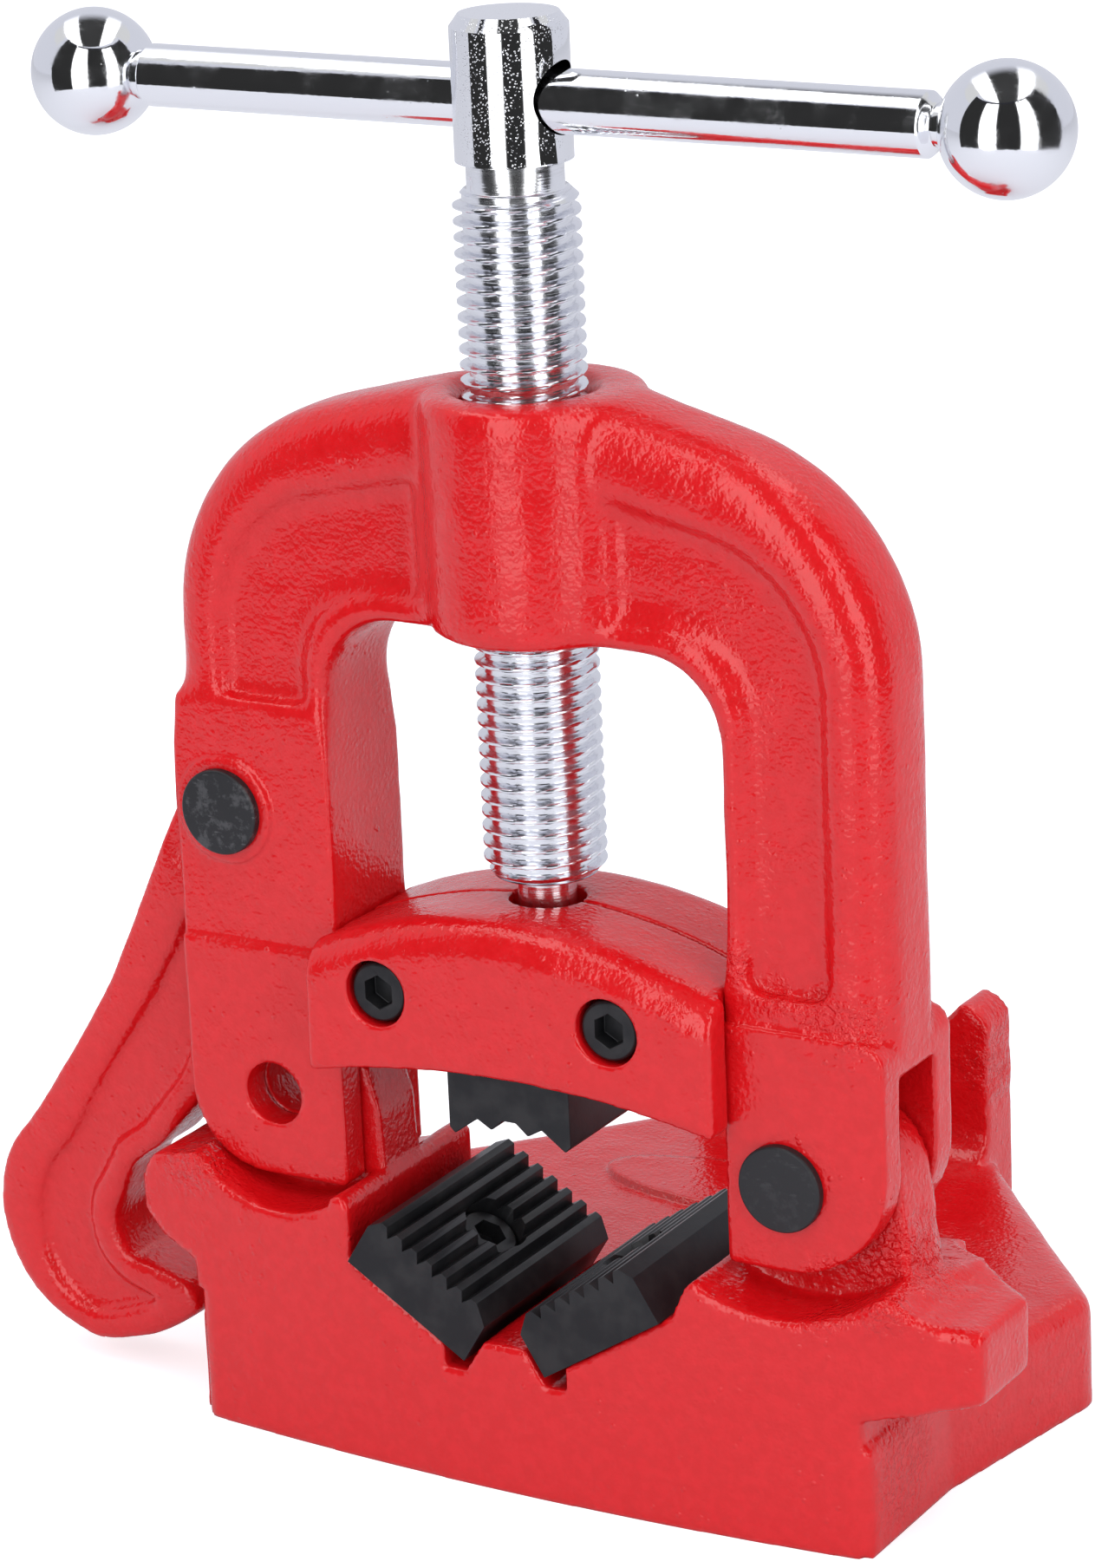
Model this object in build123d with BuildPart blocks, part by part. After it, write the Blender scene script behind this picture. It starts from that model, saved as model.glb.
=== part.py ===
from build123d import *
import os
from math import acos, atan2, cos, radians, sin, sqrt, tan

# Yoke pipe vise. X runs along the handle, Y to the back and Z up, in millimetres,
# from the middle of the base's underside, straight below the screw.

# Fits between pieces
pin_fit = 0.05
screw_fit = 0.08
sliding_gap = 0.3
seat_gap = 0.2
slot_gap = 0.4
split_gap = 0.3

# Jaw seats and screw
seat_slope = 32.0
screw_r = 9.92
thread_bottom = 101.0

# Base: front block
block_half = 62.5
block_front = -20.0
block_back = 20.0
bow_r = 560.0
block_corner_l = 3.5
block_corner_r = 1.2
block_skin = 8.0
hump_half = 4.0
hump_z = 26.0
notch_in = 7.5
notch_out = 11.5
notch_z = 20.2
seat_end = 30.8
ridge_x = 35.0
ridge_z = 43.6
ridge_wall = 1.6
bar_x = 31.4
bar_half = 2.0
bar_z = 46.0

# Base: pockets round the legs' feet, and the two lips
pocket_r_depth = 20.0
pocket_l_depth = 18.1
rest_hump_x = 66.2
rest_hump_z = 45.1
rest_fall_x = 69.3
rest_fall_z = 44.1
rest_dip_x = 72.2
rest_dip_z = 42.1
rest_flat_x = 76.7
rest_top = 41.0
rest_end = 82.8
rest_end_low = 29.0
rest_root = 23.2
rest_depth = 3.0
rest_slant = 16.0
rest_back_in = 57.0
rest_back_y = -6.0
rest_back_z = 41.0
catch_hump_x = 61.0
catch_hump_z = 47.8
catch_top = 45.4
catch_chamfer_x = 70.8
catch_end = 73.0
catch_end_top = 41.6
catch_end_low = 35.4
catch_under = 31.4
catch_root = 28.3
catch_depth = 14.0

# Base: rear plate, saddle, bolt holes and raised oval
plate_top = 20.0
plate_front_half = 64.0
plate_waist_y = 12.0
plate_half = 71.0
plate_wide_y = 52.0
plate_corner_r = 6.0
plate_edge_r = 3.5
plate_skin = 7.0
plate_roof = 8.0
saddle_front = 97.0
saddle_t = 10.0
saddle_half = 29.5
saddle_foot_r = 6.0
saddle_corner_r = 5.0
saddle_join_y = 100.0
saddle_top = 48.3
saddle_r = 30.5
saddle_axis_z = 67.0
bolt_x = 46.0
bolt_y = 50.0
bolt_r = 4.5
bolt_boss_r = 11.0
rear_bolt_y = 84.0
oval_y = 66.0
oval_long = 30.0
oval_short = 10.0
oval_rise = 1.2

# Pins, and the ears that they pass through
hinge_x = 47.7
hinge_z = 58.9
latch_x = -54.3
latch_z = 107.2
pin_r = 5.35
pin_head_r = 7.2
pin_head_t = 1.6
pin_head_round = 0.5
pin_tail = 1.6
ring_r = 8.0
ring_t = 1.2
ring_groove = 0.8
ring_gap = 0.1
ear_t = 11.2
ear_r = 12.4
ear_in = 9.4
nose_top_angle = 70.0
nose_side = 17.4
nose_mid = 12.1
nose_foot = 20.8
lug_foot = 29.8
lug_waist = 31.0
lug_waist_z = 56.0
lug_neck = 33.2
lug_neck_z = 63.5

# Yoke
leg_half_y = 11.6
latch_pad_half_y = 10.8
latch_boss_r = 9.1
latch_boss_rise = 0.6
arch_half_y = 10.5
web_half_y = 7.8
yoke_left = -64.0
yoke_right = 65.7
yoke_foot = 44.5
yoke_top = 180.5
shoulder_z = 168.0
shoulder_r = 38.0
foot_r_left = 14.0
foot_r_right = 18.0
throat_left = -34.0
throat_right = 37.5
throat_top = 142.0
throat_corner_r = 13.0
rim_front_r = 7.0
rim_back_r = 7.0
pad_edge_r = 1.2
pad_corner_r = 4.0
lower_pad_z = 84.5
latch_pad_z = 126.5
rim_top = 12.2
rim_side = 10.0
rim_throat = 4.0
web_fall = 2.3
web_slope = 8.6
web_corner_r = 24.0
web_foot_right = 89.5
web_round = 3.0
boss_x = 1.6
boss_half_x = 17.2
boss_half_y = 18.5
boss_corner_r = 16.8
bore_r = screw_r + screw_fit
bore_lead = 2.3
fork_top_right = 77.8
fork_top_left = 76.0
latch_slot_top = 121.0
latch_slot_in = -42.0

# Latch hook: its eye round the pin, and its lower part set out from the catch lip's end
latch_t = 10.0
latch_eye_r = 11.5
hook_web_depth = 1.8
hook_web_clear = 27.0
hook_rim = 4.8
hook_floor_bulge = 1.2
shank_in = 6.0
shank_in_up = 11.4
knee_out = 2.9
knee_up = 0.8
step_out = 9.6
step_down = 3.3
gullet_out = 15.7
gullet_top_out = 14.4
gullet_top_down = 10.7
shelf_out = 10.5
shelf_down = 21.2
tip_in = 2.6
tip_top_down = 22.6
tip_low_down = 27.1
tip_round = 2.5
eye_up = 0.7071
hook_low = 37.2
hook_low_out = 19.0
hook_belly_out = 37.9
hook_belly_down = 19.1
elbow_out = 31.5
elbow_up = 0.4
back_out = 19.4
back_up = 17.1
shoulder_out = 10.6
shoulder_up = 31.0

# Slide
slide_out = 18.1
slide_left = -36.0
slide_right = 39.0
slide_low_end = 67.0
slide_low_mid = 71.0
slide_high_end = 88.5
slide_high_mid = 96.8
slide_edge_r = 5.8
slide_drop = 18.0
clamp_x = 21.35
clamp_shift = 0.85
clamp_z = 82.4
clamp_recess = 1.0

# Upper jaw
upper_valley_x = 6.0
upper_valley_rise = 3.1
upper_flat_x = 1.2
upper_half = 11.3
upper_head_half = 15.5
upper_len = 30.0
upper_neck_z = 72.0
upper_head_z = 78.0
upper_tip_z = 59.4
upper_tip_x = 10.3
upper_mid_z = 61.0
upper_mid_x = 3.4
upper_valley = 1.9

# Lower jaws
seat_tip_x = 7.6
seat_tip_z = 22.0
jaw_w = 25.5
jaw_t = 8.3
jaw_len = 40.0
jaw_crest = 10.6
jaw_crown_start = 3.1
jaw_chin = 0.4
tooth_pitch = 3.25
tooth_depth = 1.8
tooth_flat = 1.2
tooth_count = 7

# Cap screws
cap_r = 5.0
cap_h = 6.0
cap_hex = 5.0
cap_hex_depth = 3.0
cap_edge = 0.4
cap_well_r = 5.6
shank_r = 3.0
shank_clear = 0.3
clamp_len = 24.0
jaw_screw_floor = 2.2
jaw_screw_len = 14.0

# Spindle
collar_low = 84.0
collar_high = 89.0
collar_r = 8.0
tip_z = 80.5
neck_r = 4.75
crown_hole_r = 6.25
thread_chamfer = 1.6
relief_r = 7.6
head_low = 215.8
head_r = 9.2
head_h = 22.5
relief_len = 4.3
head_chamfer_r = 1.4
head_chamfer_z = 1.9

# Handle
handle_rise = 9.3
handle_r = 5.0
handle_hole_r = 5.7
handle_hole_rise = 0.55
ball_r = 10.2
ball_left_x = -78.0
ball_right_x = 83.4
bar_left_end = -67.0
bar_right_end = 69.5
bar_end_chamfer = 0.6
stub_r = 4.0

clamp_grip = slide_out - clamp_recess - cap_h
head_top = head_low + head_h
handle_z = head_low + handle_rise
thread_top = head_low - relief_len
reach = head_top

os.makedirs("parts", exist_ok=True)


def save(piece, name):
    piece.label = name
    export_step(piece, "parts/" + name + ".step")


def bowed_front(x):
    """Y of the block's bowed front face at this X."""
    return block_front + bow_r - sqrt(bow_r**2 - x**2)


# A point on the right-hand jaw seat: s runs up the seat from the lower edge, t stands off it.
seat_cos = cos(radians(seat_slope))
seat_sin = sin(radians(seat_slope))


def seat_x(s, t=0.0):
    return seat_tip_x + s * seat_cos - t * seat_sin


def seat_z(s, t=0.0):
    return seat_tip_z + s * seat_sin + t * seat_cos


def seat_line(x):
    return seat_tip_z + (x - seat_tip_x) * tan(radians(seat_slope))


def rounded_outline(*corners):
    """A closed outline: each corner is its two coordinates and its rounding radius."""
    FilletPolyline(
        *[(across, up) for across, up, _ in corners],
        radius=[round_r for _, _, round_r in corners],
        close=True,
    )


def eye_tangent(across, up, turn):
    """Where a line from this point touches the latch's eye; turn is 1 or -1 for either side."""
    away = atan2(up - latch_z, across - latch_x)
    spread = acos(latch_eye_r / sqrt((across - latch_x) ** 2 + (up - latch_z) ** 2))
    swing = away + turn * spread
    return latch_x + latch_eye_r * cos(swing), latch_z + latch_eye_r * sin(swing)


def cap_screw(plane, length):
    """Socket head cap screw: its head stands on this plane and its shank runs below."""
    with BuildPart() as screw:
        with BuildSketch(plane):
            Circle(cap_r)
        extrude(amount=cap_h)
        chamfer(screw.faces().sort_by(Axis(plane.origin, plane.z_dir))[-1].edges(), length=cap_edge)
        with BuildSketch(plane.offset(cap_h)):
            RegularPolygon(cap_hex / 2, 6, major_radius=False)
        extrude(amount=-cap_hex_depth, mode=Mode.SUBTRACT)
        with BuildSketch(plane):
            Circle(shank_r)
        extrude(amount=-length)
    return screw.part


def headed_pin(across, up, face_y):
    """Pin with its head against the yoke's front face and a ring groove at its far end."""
    with BuildPart() as pin:
        with BuildSketch(Plane.XZ.offset(face_y)):
            with Locations((across, up)):
                Circle(pin_head_r)
        extrude(amount=pin_head_t)
        fillet(pin.faces().sort_by(Axis.Y)[0].edges(), radius=pin_head_round)
        with BuildSketch(Plane.XZ.offset(face_y)):
            with Locations((across, up)):
                Circle(pin_r)
        extrude(amount=-(2 * face_y + ring_gap + ring_t + ring_gap + pin_tail))
        with BuildSketch(Plane.XZ.offset(-face_y)):
            with Locations((across, up)):
                Circle(ring_r)
                Circle(pin_r - ring_groove, mode=Mode.SUBTRACT)
        extrude(amount=-(ring_gap + ring_t + ring_gap), mode=Mode.SUBTRACT)
    return pin.part


def retaining_ring(across, up, face_y):
    """Ring that sits in the pin's groove against the yoke's back face."""
    with BuildPart() as ring:
        with BuildSketch(Plane.XZ.offset(-face_y - ring_gap)):
            with Locations((across, up)):
                Circle(ring_r)
                Circle(pin_r - ring_groove + ring_gap, mode=Mode.SUBTRACT)
        extrude(amount=-ring_t)
    return ring.part


# Base: the rear plate first, with rounded corners and upper edges
plate_back = saddle_front + saddle_t
corner_y = bowed_front(block_half)
with BuildPart() as plate:
    with BuildSketch(Plane.XY):
        with BuildLine():
            Polyline(
                (plate_front_half, corner_y),
                (plate_front_half, plate_waist_y),
                (plate_half, plate_wide_y),
                (saddle_half, saddle_join_y),
                (saddle_half, plate_back),
                (-saddle_half, plate_back),
                (-saddle_half, saddle_join_y),
                (-plate_half, plate_wide_y),
                (-plate_front_half, plate_waist_y),
                (-plate_front_half, corner_y),
                close=True,
            )
        make_face()
    extrude(amount=plate_top)
    uprights = plate.edges().filter_by(Axis.Z).group_by(Axis.X)
    fillet(uprights[0] + uprights[-1], radius=plate_corner_r)
    fillet(plate.faces().sort_by(Axis.Z)[-1].edges(), radius=plate_edge_r)

ear_half = ear_t / 2
ear_foot = rest_root + plate_roof
seat_end_z = seat_line(seat_end)
bar_in = bar_x - bar_half
bar_out = bar_x + bar_half
bar_low = bar_z - bar_half
ridge_out = ridge_x + ridge_wall
ridge_in = ridge_x - ridge_wall
ridge_low = ridge_z - ridge_wall
catch_hump_in = catch_hump_x - bar_half
catch_hump_low = catch_hump_z - ridge_wall

with BuildPart() as base:
    # Front block: its outline seen from the front, run from before the bow to its back
    with BuildSketch(Plane.XZ.offset(-block_front)):
        with BuildLine():
            Polyline(
                (-block_half, 0),
                (block_half, 0),
                (block_half, rest_root),
                (rest_end, rest_end_low),
                (rest_end, rest_top),
                (rest_flat_x, rest_top),
                (rest_dip_x, rest_dip_z),
                (rest_fall_x, rest_fall_z),
                (rest_hump_x, rest_hump_z),
            )
            ThreePointArc(
                (rest_hump_x, rest_hump_z), (hinge_x, hinge_z - pocket_r_depth), (ridge_out, ridge_low)
            )
            Polyline(
                (ridge_out, ridge_low),
                (ridge_x, ridge_z),
                (ridge_in, ridge_low),
                (seat_end, seat_end_z),
                (notch_out, seat_line(notch_out)),
                (notch_out, notch_z),
                (notch_in, notch_z),
                (hump_half, hump_z),
                (-hump_half, hump_z),
                (-notch_in, notch_z),
                (-notch_out, notch_z),
                (-notch_out, seat_line(notch_out)),
                (-bar_in, seat_line(bar_in)),
                (-bar_in, bar_low),
            )
            ThreePointArc((-bar_in, bar_low), (-bar_x, bar_z), (-bar_out, bar_low))
            ThreePointArc(
                (-bar_out, bar_low),
                (-hinge_x + ridge_wall, hinge_z - pocket_l_depth),
                (-catch_hump_in, catch_hump_low),
            )
            Polyline(
                (-catch_hump_in, catch_hump_low),
                (-catch_hump_x, catch_hump_z),
                (-catch_chamfer_x, catch_top),
                (-catch_end, catch_end_top),
                (-catch_end, catch_end_low),
                (-block_half - plate_skin, catch_under),
                (-block_half, catch_root),
                (-block_half, 0),
            )
        make_face()
    extrude(amount=block_front - block_back)

    # Plan of the block: bowed in front, its lips slanting away behind
    with BuildSketch(Plane.XY):
        with BuildLine():
            ThreePointArc(
                (-rest_end, bowed_front(rest_end)), (0, block_front), (rest_end, bowed_front(rest_end))
            )
            Polyline(
                (rest_end, bowed_front(rest_end)),
                (rest_end, rest_depth),
                (plate_front_half, rest_slant),
                (plate_front_half, block_back),
                (-block_half, block_back),
                (-rest_end, catch_depth),
                (-rest_end, bowed_front(rest_end)),
            )
        make_face()
    extrude(amount=reach, mode=Mode.INTERSECT)

    # The right lip's hump falls away towards the back
    with BuildSketch(Plane.YZ.offset(rest_back_in)):
        with BuildLine():
            Polyline(
                (rest_back_y, rest_hump_z),
                (block_back, rest_back_z),
                (block_back, reach),
                (rest_back_y, reach),
                close=True,
            )
        make_face()
    extrude(amount=reach, mode=Mode.SUBTRACT)
    add(plate.part)

    # Front corners rounded below the lips
    for side, corner_r in ((-1, block_corner_l), (1, block_corner_r)):
        round_x = block_half - corner_r
        round_y = bowed_front(round_x) + corner_r
        with BuildSketch(Plane.XY):
            with Locations((side * (round_x + block_half / 2), round_y - block_half / 2)):
                Rectangle(block_half, block_half)
            with Locations((side * round_x, round_y)):
                Circle(corner_r, mode=Mode.SUBTRACT)
        extrude(amount=rest_root, mode=Mode.SUBTRACT)

    # Saddle that carries the far end of the pipe
    with BuildSketch(Plane.XZ.offset(-saddle_front)):
        with BuildLine():
            rounded_outline(
                (-saddle_half, 0, 0),
                (-saddle_half, saddle_top, saddle_corner_r),
                (saddle_half, saddle_top, saddle_corner_r),
                (saddle_half, 0, 0),
            )
        make_face()
        with Locations((0, saddle_axis_z)):
            Circle(saddle_r, mode=Mode.SUBTRACT)
    extrude(amount=-saddle_t)
    with BuildSketch(Plane.YZ):
        with Locations((saddle_front - saddle_foot_r / 2, plate_top + saddle_foot_r / 2)):
            Rectangle(saddle_foot_r, saddle_foot_r)
        with Locations((saddle_front - saddle_foot_r, plate_top + saddle_foot_r)):
            Circle(saddle_foot_r, mode=Mode.SUBTRACT)
    extrude(amount=saddle_half, both=True)

    # Raised oval on the plate, left bare
    with BuildSketch(Plane.XY.offset(plate_top)):
        with Locations((0, oval_y)):
            Ellipse(oval_long, oval_short)
    extrude(amount=oval_rise)

    # Ears that stand in the yoke's slots
    nose_angle = radians(nose_top_angle)
    nose_top = (hinge_x + ear_r * cos(nose_angle), hinge_z + ear_r * sin(nose_angle))
    ear_rise = sqrt(ear_r**2 - ear_in**2)
    with BuildSketch(Plane.XZ.offset(ear_half)):
        with BuildLine():
            ThreePointArc((hinge_x - ear_in, hinge_z + ear_rise), (hinge_x, hinge_z + ear_r), nose_top)
            ThreePointArc(
                nose_top, (hinge_x + nose_mid, hinge_z + ear_in), (hinge_x + nose_side, hinge_z)
            )
            Polyline(
                (hinge_x + nose_side, hinge_z),
                (hinge_x + nose_foot, ear_foot),
                (hinge_x - ear_in, ear_foot),
                (hinge_x - ear_in, hinge_z + ear_rise),
            )
        make_face()
        with Locations((-hinge_x, hinge_z)):
            Circle(ear_r)
        with Locations((-hinge_x, (hinge_z + ear_foot) / 2)):
            Rectangle(2 * ear_r, hinge_z - ear_foot)
        with BuildLine():
            Polyline(
                (-hinge_x, ear_foot),
                (-lug_foot, ear_foot),
                (-lug_waist, lug_waist_z),
                (-lug_neck, lug_neck_z),
                (-hinge_x + ear_in, hinge_z + ear_rise),
                (-hinge_x, hinge_z),
                close=True,
            )
        make_face()
        with Locations((-hinge_x, hinge_z), (hinge_x, hinge_z)):
            Circle(pin_r + pin_fit, mode=Mode.SUBTRACT)
    extrude(amount=-ear_t)

    # Hollow underside of the rear plate, with bosses left for the bolts
    with BuildSketch(Plane.XY):
        with BuildLine():
            Polyline(
                (plate_front_half - plate_skin, block_back + plate_skin),
                (plate_half - plate_skin, plate_wide_y),
                (saddle_half - plate_skin, saddle_front - plate_skin),
                (-saddle_half + plate_skin, saddle_front - plate_skin),
                (-plate_half + plate_skin, plate_wide_y),
                (-plate_front_half + plate_skin, block_back + plate_skin),
                close=True,
            )
        make_face()
        with Locations((-bolt_x, bolt_y), (bolt_x, bolt_y), (0, rear_bolt_y)):
            Circle(bolt_boss_r, mode=Mode.SUBTRACT)
    extrude(amount=plate_top - plate_roof, mode=Mode.SUBTRACT)

    # Hollow underside of the front block, either side of a rib under the screw
    with BuildSketch(Plane.XY):
        with Locations((0, (block_back + corner_y) / 2)):
            Rectangle(2 * (block_half - block_skin), block_back - corner_y - 2 * block_skin)
            Rectangle(block_skin, reach, mode=Mode.SUBTRACT)
    extrude(amount=notch_z - block_skin, mode=Mode.SUBTRACT)

    # Bolt holes
    with Locations(
        (-bolt_x, bolt_y, plate_top), (bolt_x, bolt_y, plate_top), (0, rear_bolt_y, plate_top)
    ):
        Hole(bolt_r)

    # Tapped holes for the jaws' screws, square to each seat
    for side in (1, -1):
        with BuildSketch(
            Plane(
                origin=(side * seat_x(jaw_w / 2), 0, seat_z(jaw_w / 2)),
                x_dir=(0, 1, 0),
                z_dir=(-side * seat_sin, 0, seat_cos),
            )
        ):
            Circle(shank_r + pin_fit)
        extrude(amount=jaw_screw_floor - jaw_screw_len - 1, mode=Mode.SUBTRACT)

save(base.part, "base")

# Yoke
boss_left = boss_x - boss_half_x
boss_right = boss_x + boss_half_x
web_top = yoke_top - rim_top
# Outlines of the two recessed webs that follow the arch between its rims
with BuildSketch(Plane.XZ) as webs:
    with BuildLine():
        rounded_outline(
            (boss_right, web_top - web_fall, 0),
            (yoke_right - rim_side, web_top - web_fall - web_slope, web_corner_r),
            (yoke_right - rim_side, web_foot_right, web_round),
            (throat_right + rim_throat, web_foot_right, web_round),
            (throat_right + rim_throat, throat_top + rim_throat, throat_corner_r),
            (boss_right, throat_top + rim_throat, 0),
        )
    make_face()
    with BuildLine():
        rounded_outline(
            (boss_left, web_top - web_fall, 0),
            (yoke_left + rim_side, web_top - web_fall - web_slope, web_corner_r),
            (yoke_left + rim_side, latch_pad_z, 0),
            (throat_left - rim_throat, latch_pad_z, 0),
            (throat_left - rim_throat, throat_top + rim_throat, throat_corner_r),
            (boss_left, throat_top + rim_throat, 0),
        )
    make_face()

with BuildPart() as yoke:
    # Arch, with rounded shoulders, its outer edges well rounded in front and less behind
    with BuildSketch(Plane.XZ.offset(arch_half_y)):
        with BuildLine():
            rounded_outline(
                (yoke_left, hinge_z, 0),
                (yoke_left, shoulder_z, shoulder_r),
                (boss_left, yoke_top, 0),
                (boss_right, yoke_top, 0),
                (yoke_right, shoulder_z, shoulder_r),
                (yoke_right, hinge_z, 0),
            )
        make_face()
    extrude(amount=-2 * arch_half_y)
    fillet(yoke.faces().sort_by(Axis.Y)[0].edges().sort_by(Axis.Z)[1:], radius=rim_front_r)
    fillet(yoke.faces().sort_by(Axis.Y)[-1].edges().sort_by(Axis.Z)[1:], radius=rim_back_r)

    # Legs below, with square faces that stand a little proud of the arch
    with BuildSketch(Plane.XZ.offset(leg_half_y)):
        with BuildLine():
            rounded_outline(
                (yoke_left, yoke_foot, foot_r_left),
                (yoke_left, lower_pad_z, 0),
                (throat_left, lower_pad_z, 0),
                (throat_left, yoke_foot, pad_edge_r),
            )
        make_face()
        with BuildLine():
            rounded_outline(
                (throat_right, yoke_foot, pad_edge_r),
                (throat_right, lower_pad_z, 0),
                (yoke_right, lower_pad_z, pad_corner_r),
                (yoke_right, yoke_foot, foot_r_right),
            )
        make_face()
    extrude(amount=-2 * leg_half_y)
    with BuildSketch(Plane.XZ.offset(latch_pad_half_y)):
        with Locations(((yoke_left + throat_left) / 2, (lower_pad_z + latch_pad_z) / 2)):
            Rectangle(throat_left - yoke_left, latch_pad_z - lower_pad_z)
    extrude(amount=-2 * latch_pad_half_y)
    latch_boss_y = latch_pad_half_y + latch_boss_rise
    with BuildSketch(Plane.XZ):
        with Locations((latch_x, latch_z)):
            Circle(latch_boss_r)
    extrude(amount=latch_boss_y, both=True)

    # Throat between the legs
    with BuildSketch(Plane.XZ.offset(reach / 2)):
        with BuildLine():
            rounded_outline(
                (throat_left, 0, 0),
                (throat_left, throat_top, throat_corner_r),
                (throat_right, throat_top, throat_corner_r),
                (throat_right, 0, 0),
            )
        make_face()
    extrude(amount=-reach, mode=Mode.SUBTRACT)

    # Webs thinner than the rims round them, front and back
    extrude(webs.sketch, amount=reach, both=True, mode=Mode.SUBTRACT)
    extrude(webs.sketch, amount=web_half_y, both=True)

    # Boss for the screw, its bore led in at the top
    with BuildSketch(Plane.XY.offset(throat_top)):
        with Locations((boss_x, 0)):
            RectangleRounded(2 * boss_half_x, 2 * boss_half_y, boss_corner_r)
    extrude(amount=yoke_top - throat_top)
    with BuildSketch(Plane.XY.offset(throat_top)):
        Circle(bore_r)
    extrude(amount=reach, mode=Mode.SUBTRACT)
    bore_mouth = yoke.faces().sort_by(Axis.Z)[-1].edges().filter_by(GeomType.CIRCLE)
    chamfer(bore_mouth.filter_by(lambda edge: edge.radius == bore_r), length=bore_lead)

    # Slots for the ears, and for the latch that swings out of the left leg
    fork = ear_half + slot_gap
    with BuildSketch(Plane.XZ):
        with BuildLine():
            rounded_outline(
                (throat_right - reach / 10, 0, 0),
                (throat_right - reach / 10, fork_top_right, 0),
                (reach / 2, fork_top_right, 0),
                (reach / 2, 0, 0),
            )
        make_face()
        with BuildLine():
            rounded_outline(
                (throat_left + reach / 10, 0, 0),
                (throat_left + reach / 10, fork_top_left, 0),
                (latch_slot_in, fork_top_left, 0),
                (latch_slot_in, latch_slot_top, pad_corner_r),
                (-reach / 2, latch_slot_top, 0),
                (-reach / 2, 0, 0),
            )
        make_face()
    extrude(amount=fork, both=True, mode=Mode.SUBTRACT)

    # Pin holes; the free one below the latch takes a pin through the left ear
    with BuildSketch(Plane.XZ):
        with Locations((hinge_x, hinge_z), (-hinge_x, hinge_z), (latch_x, latch_z)):
            Circle(pin_r + pin_fit)
    extrude(amount=reach, both=True, mode=Mode.SUBTRACT)

save(yoke.part, "yoke")

# Pins and their rings
save(headed_pin(hinge_x, hinge_z, leg_half_y), "hinge_pin")
save(retaining_ring(hinge_x, hinge_z, leg_half_y), "hinge_pin_ring")
save(headed_pin(latch_x, latch_z, latch_boss_y), "latch_pin")
save(retaining_ring(latch_x, latch_z, latch_boss_y), "latch_pin_ring")

# Latch hook: its outline runs down the outer side, round the hook and back up the inner side
knee = (-catch_end - knee_out, catch_end_top + knee_up)
shank = (-catch_end + shank_in, catch_end_top + shank_in_up)
step = (-catch_end - step_out, catch_end_top - step_down)
gullet_top = (-catch_end - gullet_top_out, catch_end_top - gullet_top_down)
shelf = (-catch_end - shelf_out, catch_end_top - shelf_down)
tip_top = (-catch_end + tip_in - tip_round, catch_end_top - tip_top_down)
tip_low = (-catch_end + tip_in, catch_end_top - tip_low_down)
hook_floor = (-catch_end - hook_low_out, catch_end_top - hook_low)
belly = (-catch_end - hook_belly_out, catch_end_top - hook_belly_down)
elbow = (-catch_end - elbow_out, catch_end_top + elbow_up)
arm_back = (-catch_end - back_out, catch_end_top + back_up)
arm_shoulder = (-catch_end - shoulder_out, catch_end_top + shoulder_up)
eye_out = eye_tangent(*arm_shoulder, -1)
eye_in = eye_tangent(*shank, 1)
with BuildSketch(Plane.XZ) as hook_outline:
    with BuildLine():
        Line(eye_out, arm_shoulder)
        ThreePointArc(arm_shoulder, arm_back, elbow)
        ThreePointArc(elbow, belly, hook_floor)
        ThreePointArc(
            hook_floor,
            (
                (hook_floor[0] + tip_low[0]) / 2,
                (hook_floor[1] + tip_low[1]) / 2 - hook_floor_bulge,
            ),
            tip_low,
        )
        ThreePointArc(tip_low, (tip_low[0], (tip_low[1] + tip_top[1]) / 2), tip_top)
        Line(tip_top, shelf)
        ThreePointArc(shelf, (-catch_end - gullet_out, (shelf[1] + gullet_top[1]) / 2), gullet_top)
        Line(gullet_top, step)
        Line(step, knee)
        Line(knee, shank)
        Line(shank, eye_in)
        ThreePointArc(
            eye_in, (latch_x + eye_up * latch_eye_r, latch_z + eye_up * latch_eye_r), eye_out
        )
    make_face()
# Recess in both faces, inside a rim that follows the outline
with BuildSketch(Plane.XZ) as hook_web:
    add(hook_outline.sketch_local)
    offset(amount=-hook_rim, mode=Mode.REPLACE)
    with Locations((latch_x, latch_z)):
        Circle(hook_web_clear, mode=Mode.SUBTRACT)
with BuildPart() as latch_hook:
    extrude(hook_outline.sketch, amount=latch_t / 2, both=True)
    extrude(hook_web.sketch, amount=latch_t, both=True, mode=Mode.SUBTRACT)
    extrude(hook_web.sketch, amount=latch_t / 2 - hook_web_depth, both=True)
    with BuildSketch(Plane.XZ):
        with Locations((latch_x, latch_z)):
            Circle(pin_r + pin_fit)
    extrude(amount=latch_t, both=True, mode=Mode.SUBTRACT)

save(latch_hook.part, "latch_hook")

# Slide: two halves, split on the middle plane, that straddle the legs
plate_in = leg_half_y + sliding_gap
slide_mid = (slide_left + slide_right) / 2
body_left = throat_left + sliding_gap
body_right = throat_right - sliding_gap
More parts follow.
